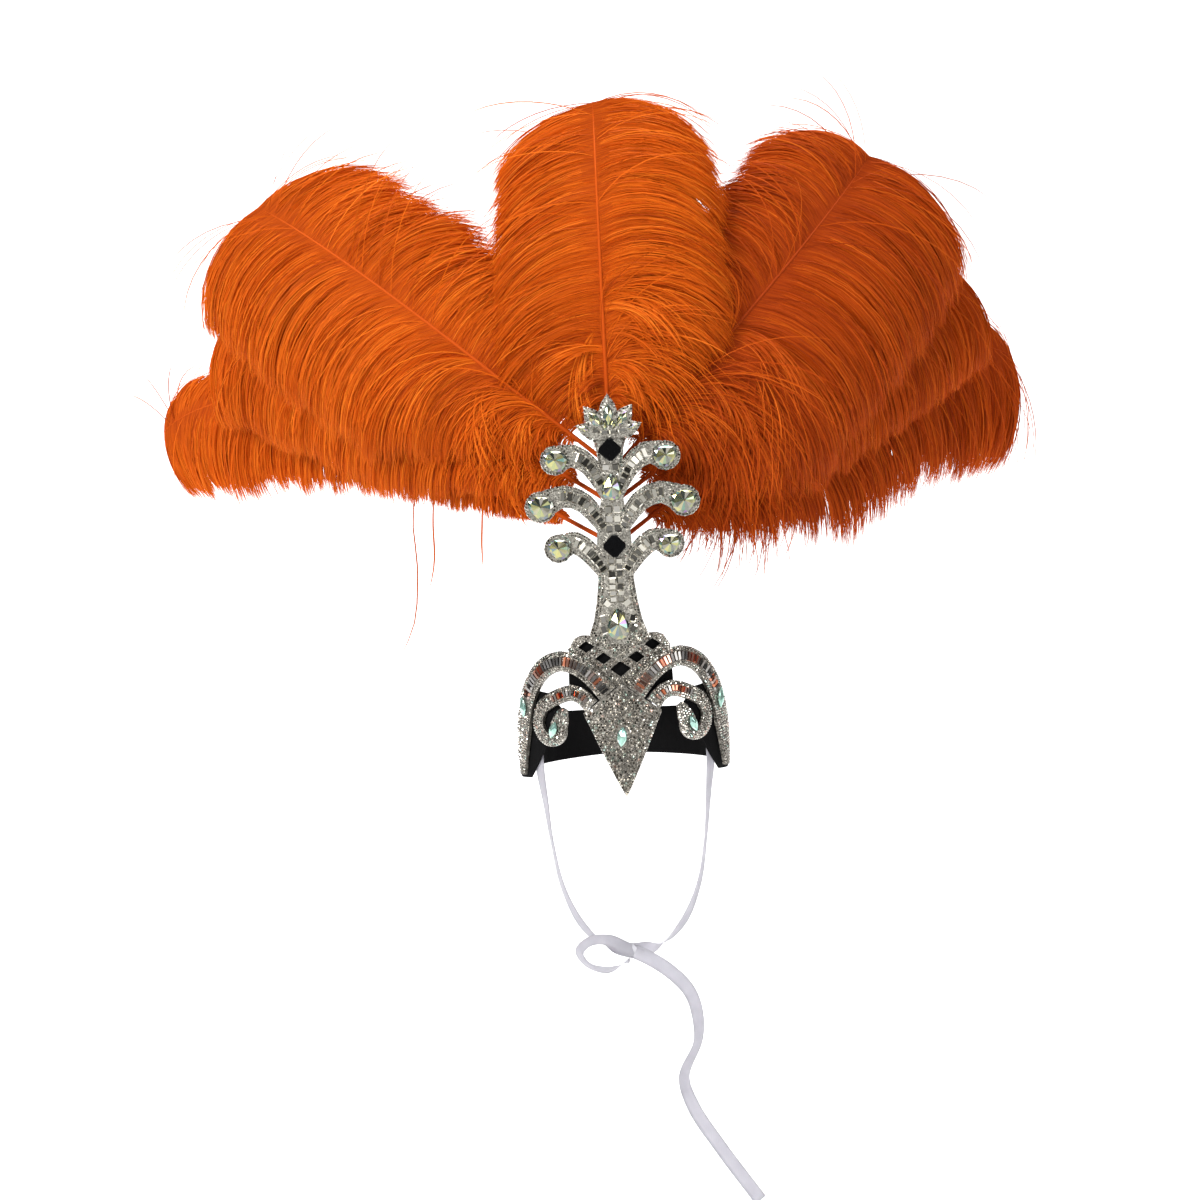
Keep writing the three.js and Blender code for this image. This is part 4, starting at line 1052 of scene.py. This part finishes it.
# Lengths in mm, angles in degrees. Lean and turn are from upright, back and curl to the rear. Left and
# right are the longest barbs, slants their angle to the quill, full the place along it where they reach
# their length, tip the share of it at the tip, frays how ragged each edge is, and tufts the loose tufts
# by the root.
# Deep marks the plumes on the less lit right side, which take the darker copy of the barb and quill colours
# as painted shade.
PLUME_ROWS = [
    ("centre", 0, 295, 345, 0, 1, 3, 62, 124, 136, 74, 46, 0.5, 0.32, 0.9,
     0.1, 0.3, 14, False),
    ("upper_left", -4, 283, 442, -48.5, -6, 13, 40, 150, 130, 34, 72, 0.45, 0.4, 0.9,
     0.25, 0.7, 12, False),
    ("upper_right", 4, 277, 422, 43, -8, 14.5, 40, 120, 168, 48, 42, 0.45, 0.32, 0.9,
     0.6, 0.2, 34, True),
    ("middle_left", -4, 250, 464, -55, -28, 23, 25, 115, 75, 36, 66, 0.6, 0.42, 0.9,
     0.3, 0.5, 14, False),
    ("middle_right", 4, 250, 460, 55, 12, 24.5, 25, 80, 118, 66, 36, 0.6, 0.36, 0.9,
     0.5, 0.2, 26, True),
    ("lower_left", -4, 215, 600, -58, -62, 33, 16, 114, 85, 34, 100, 0.8, 0.75, 0.7,
     0.8, 0.5, 6, False),
    ("lower_right", 4, 215, 577, 54, 56, 34, 16, 85, 148, 100, 30, 0.8, 0.36, 0.85,
     0.5, 0.7, 24, True),
]
PLUMES = [dict(zip(PLUME_COLUMNS, row)) for row in PLUME_ROWS]
# Columns: number of loose barbs about the root of a quill, and the sides they stand on.
ROOT_DOWN = {
    "centre": (260, (1.0,)),
    "upper_left": (220, (-1.0,)),
    "upper_right": (620, (-1.0, 1.0)),
    "middle_left": (260, (-1.0,)),
    "middle_right": (460, (-1.0, 1.0)),
    "lower_right": (320, (1.0,)),
}


def plume_material(name, deep, middle, tip):
    """Dyed barbs: deep by the quill, paler towards the tips, with a tone of its own for each barb. Painted
    shade also lowers the tone near the plumes' roots, and the darker copy of these colours is painted shade.
    """
    material, shader = new_material(name, middle, 0.68)
    shader.inputs["Specular IOR Level"].default_value = 0.1
    tree = material.node_tree.nodes
    tone = tree.new("ShaderNodeAttribute")
    tone.attribute_name = "tone"
    ramp = tree.new("ShaderNodeValToRGB")
    ramp.color_ramp.elements.new(0.5)
    stops = zip(ramp.color_ramp.elements, (0.05, 0.5, 0.95), (deep, middle, tip))
    for element, position, colour in stops:
        element.position = position
        element.color = (*colour, 1)
    node_link(material, tone.outputs["Fac"], ramp.inputs["Fac"])
    node_link(material, ramp.outputs["Color"], shader.inputs["Base Color"])
    return material


def quill_line(plume):
    t = (np.arange(QUILL_STEPS) + 0.5) / QUILL_STEPS
    side = np.radians(plume["lean"] + plume["turn"] * t**3)
    pitch = np.radians(plume["back"] + plume["curl"] * t**3)
    step = np.stack([np.sin(side) * np.cos(pitch), np.sin(pitch), np.cos(side) * np.cos(pitch)], axis=1)
    root = np.array([[plume["x"], QUILL_ROOT_Y, plume["z"]]], float)
    return np.concatenate([root, root + np.cumsum(step, axis=0) * plume["length"] / QUILL_STEPS])


def barb_lines(plume, line, barbs):
    """Paths of many barbs at once: one row of points for each, in mm."""
    t, side = barbs["t"], barbs["side"]
    tilt = np.radians(plume["lean"] + plume["turn"] * t**3)
    along = np.stack([np.sin(tilt), np.cos(tilt)], axis=1)
    across = side[:, None] * np.stack([np.cos(tilt), -np.sin(tilt)], axis=1)
    grown = np.clip((t - BARE_SHARE / 2) / (plume["full"] - BARE_SHARE / 2), 0, 1) ** 0.75
    size = np.where(side > 0, plume["right"], plume["left"]) * grown * barbs["reach"]
    size = size * (1 - (1 - plume["tip"]) * t**6)
    start = np.where(side > 0, plume["slant_right"], plume["slant_left"]) + BARB_OPENING * t
    end = np.maximum(BARB_END_ANGLE, start + BARB_BEND) + 1.6 * barbs["swing"]
    start = start + barbs["swing"]
    at = np.linspace(0, 1, len(line))
    spot = np.stack([np.interp(t, at, column) for column in line.T], axis=1)
    points = [spot]
    for k in range(BARB_STEPS):
        u = (k + 0.5) / BARB_STEPS
        angle = np.radians(start + (end - start) * u)
        flat = np.cos(angle)[:, None] * along + np.sin(angle)[:, None] * across
        flat[:, 1] -= plume["sag"] * barbs["droop"] * (0.3 + 0.7 * u)
        flat = unit(flat)
        bend = np.radians(barbs["hook"]) * u**3
        rise = np.sin(bend) + barbs["lift"] * np.sin(np.pi * u) / np.maximum(size, 20)
        step = np.stack([flat[:, 0] * np.cos(bend), rise, flat[:, 1] * np.cos(bend)], axis=1)
        spot = spot + step * (size / BARB_STEPS)[:, None]
        points.append(spot)
    return np.stack(points, axis=1)


def strand_strips(lines, width, roll):
    """Flat strips along the lines, each turned about its own line by roll and tapered to its end."""
    count, stations = lines.shape[:2]
    along = unit(np.gradient(lines, axis=1) + 1e-6)
    level = unit(np.cross(along, np.array([0.0, 1.0, 0.0])) + 1e-6)
    facing = np.cross(level, along)
    across = level * np.cos(roll)[:, None, None] + facing * np.sin(roll)[:, None, None]
    u = np.linspace(0, 1, stations)
    half = (0.8 + 0.7 * u - 1.35 * u**4)[None, :, None] * (width / 2)[:, None, None]
    points = np.stack([lines - across * half, lines + across * half], axis=2)
    first = (np.arange(count) * stations * 2)[:, None] + 2 * np.arange(stations - 1)[None, :]
    faces = np.stack([first, first + 1, first + 3, first + 2], axis=-1)
    share = np.broadcast_to(u[None, :, None], (count, stations, 2))
    return points.reshape(-1, 3), faces.reshape(-1, 4), share.reshape(-1)


def quill_mesh(line):
    """The quill as a tapered tube, closed at both ends."""
    stations = len(line)
    along = unit(np.gradient(line, axis=0))
    first = unit(np.cross(along, np.array([0.0, 1.0, 0.0])))
    second = np.cross(first, along)
    radius = np.linspace(QUILL_ROOT_RADIUS, QUILL_TIP_RADIUS, stations)[:, None]
    turn = 2 * np.pi * np.arange(QUILL_SIDES) / QUILL_SIDES
    points = np.stack([line + radius * (first * math.cos(a) + second * math.sin(a)) for a in turn], axis=1)
    ring = np.arange(QUILL_SIDES)
    after = np.roll(ring, -1)
    start = (np.arange(stations - 1) * QUILL_SIDES)[:, None]
    upper = start + QUILL_SIDES
    quads = np.stack([start + ring, start + after, upper + after, upper + ring], axis=-1)
    ends = [ring[::-1].tolist(), ((stations - 1) * QUILL_SIDES + ring).tolist()]
    return points.reshape(-1, 3), quads.reshape(-1, 4).tolist() + ends


def vane_barbs(plume, rng):
    """The combed barbs of both sides, in locks that wave and lift together."""
    count = 2 * BARBS_PER_SIDE
    side = np.repeat([-1.0, 1.0], BARBS_PER_SIDE)
    t = np.tile(np.linspace(FIRST_BARB, 1, BARBS_PER_SIDE), 2)
    lock = (t * LOCKS_PER_SIDE + rng.normal(0, 0.12, count)).astype(int) + (side > 0) * (LOCKS_PER_SIDE + 2)
    locks = 2 * LOCKS_PER_SIDE + 6
    fray = np.where(side > 0, plume["fray_right"], plume["fray_left"])
    lock_fray = rng.random(locks)[lock]
    stray = rng.random(count) < 0.03 + 0.05 * fray
    return {
        "t": np.clip(t + rng.normal(0, 0.004, count), 0.08, 1),
        "side": side,
        "swing": rng.normal(0, 2.2, locks)[lock] + rng.normal(0, 1.8, count)
        + stray * rng.normal(0, 14, count),
        "reach": 1.04 - (0.09 + 0.26 * fray) * (0.5 * lock_fray + 0.5 * rng.random(count)) + stray * 0.05,
        "droop": rng.uniform(0.85, 1.15, count),
        "hook": BARB_HOOK * (1 - 0.55 * fray) + rng.normal(0, 5, count),
        "lift": rng.normal(0, 2.2, locks)[lock] + rng.normal(0, 3, count),
        "tone": rng.uniform(0.36, 0.58, locks)[lock] + rng.normal(0, 0.13, count),
    }


def root_down(plume, rng):
    """Short loose down about the bare root of a quill, on the sides that its row in ROOT_DOWN names."""
    count, sides = ROOT_DOWN.get(plume["name"], (0, (1.0,)))
    return {
        "t": rng.uniform(0.072, 0.24, count),
        "side": rng.choice(sides, count),
        "swing": rng.normal(4, 24, count),
        "reach": rng.uniform(0.7, 1.35, count),
        "droop": rng.uniform(0.3, 1.8, count),
        "hook": rng.uniform(-30, 30, count),
        "lift": rng.uniform(-4, 6, count),
        "tone": rng.uniform(0.4, 0.8, count),
    }


def under_barbs(plume, rng):
    """Broad soft barbs a little behind the vane, which close the gaps in it."""
    count = 2 * UNDER_BARBS
    t = np.tile(np.linspace(BARE_SHARE, 0.99, UNDER_BARBS), 2)
    return {
        "t": t,
        "side": np.repeat([-1.0, 1.0], UNDER_BARBS),
        "swing": rng.normal(0, 1.0, count),
        "reach": rng.uniform(0.78, 0.9, count),
        "droop": np.ones(count),
        "hook": np.full(count, float(BARB_HOOK)),
        "lift": np.full(count, 7.0),
        "tone": rng.uniform(0.2, 0.42, count),
    }


def tuft_barbs(plume, rng):
    """Loose tufts near the root, each of barbs that curl together and stand out to the front."""
    tufts = plume["tufts"]
    tuft = np.repeat(np.arange(tufts), TUFT_BARBS)
    count = len(tuft)
    return {
        "t": rng.uniform(0.1, 0.44, tufts)[tuft] ** 1.1 + rng.normal(0, 0.006, count),
        "side": rng.choice([-1.0, 1.0], tufts)[tuft],
        "swing": rng.normal(6, 22, tufts)[tuft] + rng.normal(0, 7, count),
        "reach": rng.uniform(0.45, 0.9, tufts)[tuft] * rng.uniform(0.6, 1.1, count),
        "droop": rng.uniform(0.4, 2.2, tufts)[tuft] * rng.uniform(0.8, 1.2, count),
        "hook": rng.uniform(-40, 40, count),
        "lift": rng.uniform(-22, -6, tufts)[tuft] + rng.normal(0, 3, count),
        "tone": rng.uniform(0.4, 0.85, tufts)[tuft] + rng.normal(0, 0.1, count),
    }


def plume_piece(plume, seed, material, quill_look, strays=None):
    rng = np.random.default_rng(seed)
    line = quill_line(plume)
    groups = [vane_barbs(plume, rng), tuft_barbs(plume, rng), root_down(plume, rng), under_barbs(plume, rng)]
    barbs = {key: np.concatenate([group[key] for group in groups]) for key in groups[0]}
    lines = barb_lines(plume, line, barbs)
    # Painted shade: the tone is lowered towards the roots of the plumes, where they crowd together at the
    # column.
    tone = barbs["tone"] - ROOT_PAINTED_SHADE * np.clip((0.45 - barbs["t"]) / 0.35, 0, 1)
    if strays is not None:
        lines = np.concatenate([lines, strays])
        tone = np.concatenate([tone, np.full(len(strays), STRAY_TONE)])
    width = rng.uniform(0.5, 0.95, len(lines))
    width[len(barbs["t"]) - 2 * UNDER_BARBS:len(barbs["t"])] = UNDER_WIDTH
    width[len(barbs["t"]):] = STRAY_WIDTH
    roll = rng.normal(0, 0.55, len(lines)) * (width < UNDER_WIDTH)
    points, faces, share = strand_strips(lines, width, roll)
    tone = np.repeat(tone, lines.shape[1] * 2) + 0.16 * (share - 0.4)
    quill_points, quill_faces = quill_mesh(line)
    shift = len(points)
    faces = faces.tolist() + [[shift + i for i in face] for face in quill_faces]
    name = "feather_" + plume["name"]
    mesh = bpy.data.meshes.new(name)
    mesh.from_pydata((np.concatenate([points, quill_points]) * MM).tolist(), [], faces)
    values = np.concatenate([np.clip(tone, 0, 1), np.linspace(0.25, 0.75, len(quill_points))])
    mesh.attributes.new("tone", "FLOAT", "POINT").data.foreach_set("value", values.astype(np.float32))
    mesh.materials.append(material)
    mesh.materials.append(quill_look)
    look = np.zeros(len(faces), np.int32)
    look[-len(quill_faces):] = 1
    mesh.polygons.foreach_set("material_index", look)
    mesh.shade_smooth()
    piece = bpy.data.objects.new(name, mesh)
    scene.collection.objects.link(piece)
    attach(piece, "root")
    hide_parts("plume_" + plume["name"])
    return piece


bright_barbs = plume_material("orange_barbs",
                              (0.36, 0.040, 0.001), (0.69, 0.112, 0.003), (0.90, 0.22, 0.014))
# Painted shade: a darker copy of the barb colours for the right-hand plumes, which the lamps light less.
painted_shade_barbs = plume_material("painted_shade_orange_barbs",
                            (0.25, 0.024, 0.001), (0.49, 0.063, 0.002), (0.72, 0.14, 0.008))
bright_quill = plume_material("orange_quill",
                              (0.44, 0.056, 0.002), (0.56, 0.078, 0.003), (0.66, 0.11, 0.005))
# Painted shade: a darker copy of the quill colours for the same plumes.
painted_shade_quill = plume_material("painted_shade_orange_quill",
                            (0.28, 0.030, 0.001), (0.36, 0.042, 0.002), (0.46, 0.06, 0.003))

# Long stray barbs that hang from the lower left plume, in mm.
STRAYS = [
    [(-172, 5, 272), (-176, 5, 245), (-174, 4, 202), (-179, 3, 154), (-193, 3, 124)],
    [(-156, 0, 268), (-158, 0, 240), (-158, -1, 212), (-160, -1, 198), (-164, -1, 183)],
    [(-112, -20, 262), (-114, -20, 236), (-115, -21, 220), (-115, -21, 208), (-115, -21, 199)],
]
strays = np.stack([smooth_rows(points, BARB_STEPS + 1) for points in STRAYS])
for seed, plume in enumerate(PLUMES):
    # Plumes marked deep take the copies with painted shade.
    barb_look, quill_look = (painted_shade_barbs, painted_shade_quill) if plume["deep"] else (bright_barbs, bright_quill)
    plume_piece(plume, 70 + seed, barb_look, quill_look, strays if plume["name"] == "lower_left" else None)


# Stage: a plain pale floor that sweeps up into a backdrop, soft light from the left and above,
# and a dim room in front for the stones to reflect.
FLOOR_Z = -0.40
FLOOR_FRONT_Y = -4.0
WALL_BACK_Y = 5.0
SWEEP_RADIUS = 0.9
SWEEP_STEPS = 12
ROOM_STRENGTH = 0.75
WALL_TOP_Z = 5.0
STAGE_HALF_WIDTH = 6.0
GLOW_FRONT_Y = -0.3
GLOW_BACK_Y = 0.1
GLOW_STRENGTH = 0.78

bm = bmesh.new()
profile = [(FLOOR_FRONT_Y, FLOOR_Z)]
for k in range(SWEEP_STEPS + 1):
    a = math.radians(90 * k / SWEEP_STEPS)
    sweep_y = WALL_BACK_Y - SWEEP_RADIUS * (1 - math.sin(a))
    profile.append((sweep_y, FLOOR_Z + SWEEP_RADIUS * (1 - math.cos(a))))
profile.append((WALL_BACK_Y, WALL_TOP_Z))
line = [bm.verts.new((-STAGE_HALF_WIDTH, y, z)) for y, z in profile]
edges = [bm.edges.new(pair) for pair in zip(line, line[1:])]
swept = bmesh.ops.extrude_edge_only(bm, edges=edges)
moved = [item for item in swept["geom"] if isinstance(item, bmesh.types.BMVert)]
bmesh.ops.translate(bm, verts=moved, vec=(2 * STAGE_HALF_WIDTH, 0, 0))
mesh = bpy.data.meshes.new("backdrop")
bm.to_mesh(mesh)
bm.free()
mesh.shade_smooth()
backdrop = bpy.data.objects.new("backdrop", mesh)
scene.collection.objects.link(backdrop)
paper, paper_shader = new_material("pale_paper", (0.90, 0.90, 0.90), 0.9)
paper_shader.inputs["Emission Color"].default_value = (1, 1, 1, 1)
paper_place = paper.node_tree.nodes.new("ShaderNodeTexCoord")
paper_split = paper.node_tree.nodes.new("ShaderNodeSeparateXYZ")
paper_glow = paper.node_tree.nodes.new("ShaderNodeMapRange")
paper_glow.inputs["From Min"].default_value = GLOW_FRONT_Y
paper_glow.inputs["From Max"].default_value = GLOW_BACK_Y
paper_glow.inputs["To Max"].default_value = GLOW_STRENGTH
node_link(paper, paper_place.outputs["Object"], paper_split.inputs["Vector"])
node_link(paper, paper_split.outputs["Y"], paper_glow.inputs["Value"])
node_link(paper, paper_glow.outputs["Result"], paper_shader.inputs["Emission Strength"])
mesh.materials.append(paper)
backdrop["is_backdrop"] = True


def area_light(name, place, aim, size, watts, colour=(1, 1, 1)):
    lamp = bpy.data.lights.new(name, "AREA")
    lamp.shape = "DISK"
    lamp.size = size
    lamp.energy = watts
    lamp.color = colour
    light = bpy.data.objects.new(name, lamp)
    light.location = place
    light.rotation_euler = (Vector(aim) - Vector(place)).to_track_quat("-Z", "Y").to_euler()
    scene.collection.objects.link(light)


area_light("key_light", (-1.7, -1.9, 1.5), (0, 0, 0.25), 1.1, 62)
area_light("fill_light", (1.9, -1.8, 0.5), (0, 0, 0.2), 1.4, 13)
area_light("top_light", (0.2, -0.3, 2.4), (0, 0, 0.3), 1.2, 20)
area_light("backdrop_light", (0, 0.6, 2.6), (0, 2.1, 0.2), 2.4, 30)

room = bpy.data.worlds.new("room")
room.use_nodes = True
scene.world = room
tree = room.node_tree
direction = tree.nodes.new("ShaderNodeTexCoord")
windows = tree.nodes.new("ShaderNodeTexNoise")
windows.inputs["Scale"].default_value = 4.5
windows.inputs["Detail"].default_value = 1
ramp = tree.nodes.new("ShaderNodeValToRGB")
ramp.color_ramp.elements.new(0.5)
for element, position, level in zip(ramp.color_ramp.elements, (0.40, 0.54, 0.66), (0.05, 0.30, 1.5)):
    element.position = position
    element.color = (level, level, 1.02 * level, 1)
tree.links.new(direction.outputs["Generated"], windows.inputs["Vector"])
tree.links.new(windows.outputs["Fac"], ramp.inputs["Fac"])
tree.links.new(ramp.outputs["Color"], tree.nodes["Background"].inputs["Color"])
tree.nodes["Background"].inputs["Strength"].default_value = ROOM_STRENGTH
scene.view_settings.view_transform = "Standard"

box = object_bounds()
sizes = {"cad": [list(corner) for corner in cad_box], "visual": [list(corner) for corner in box]}
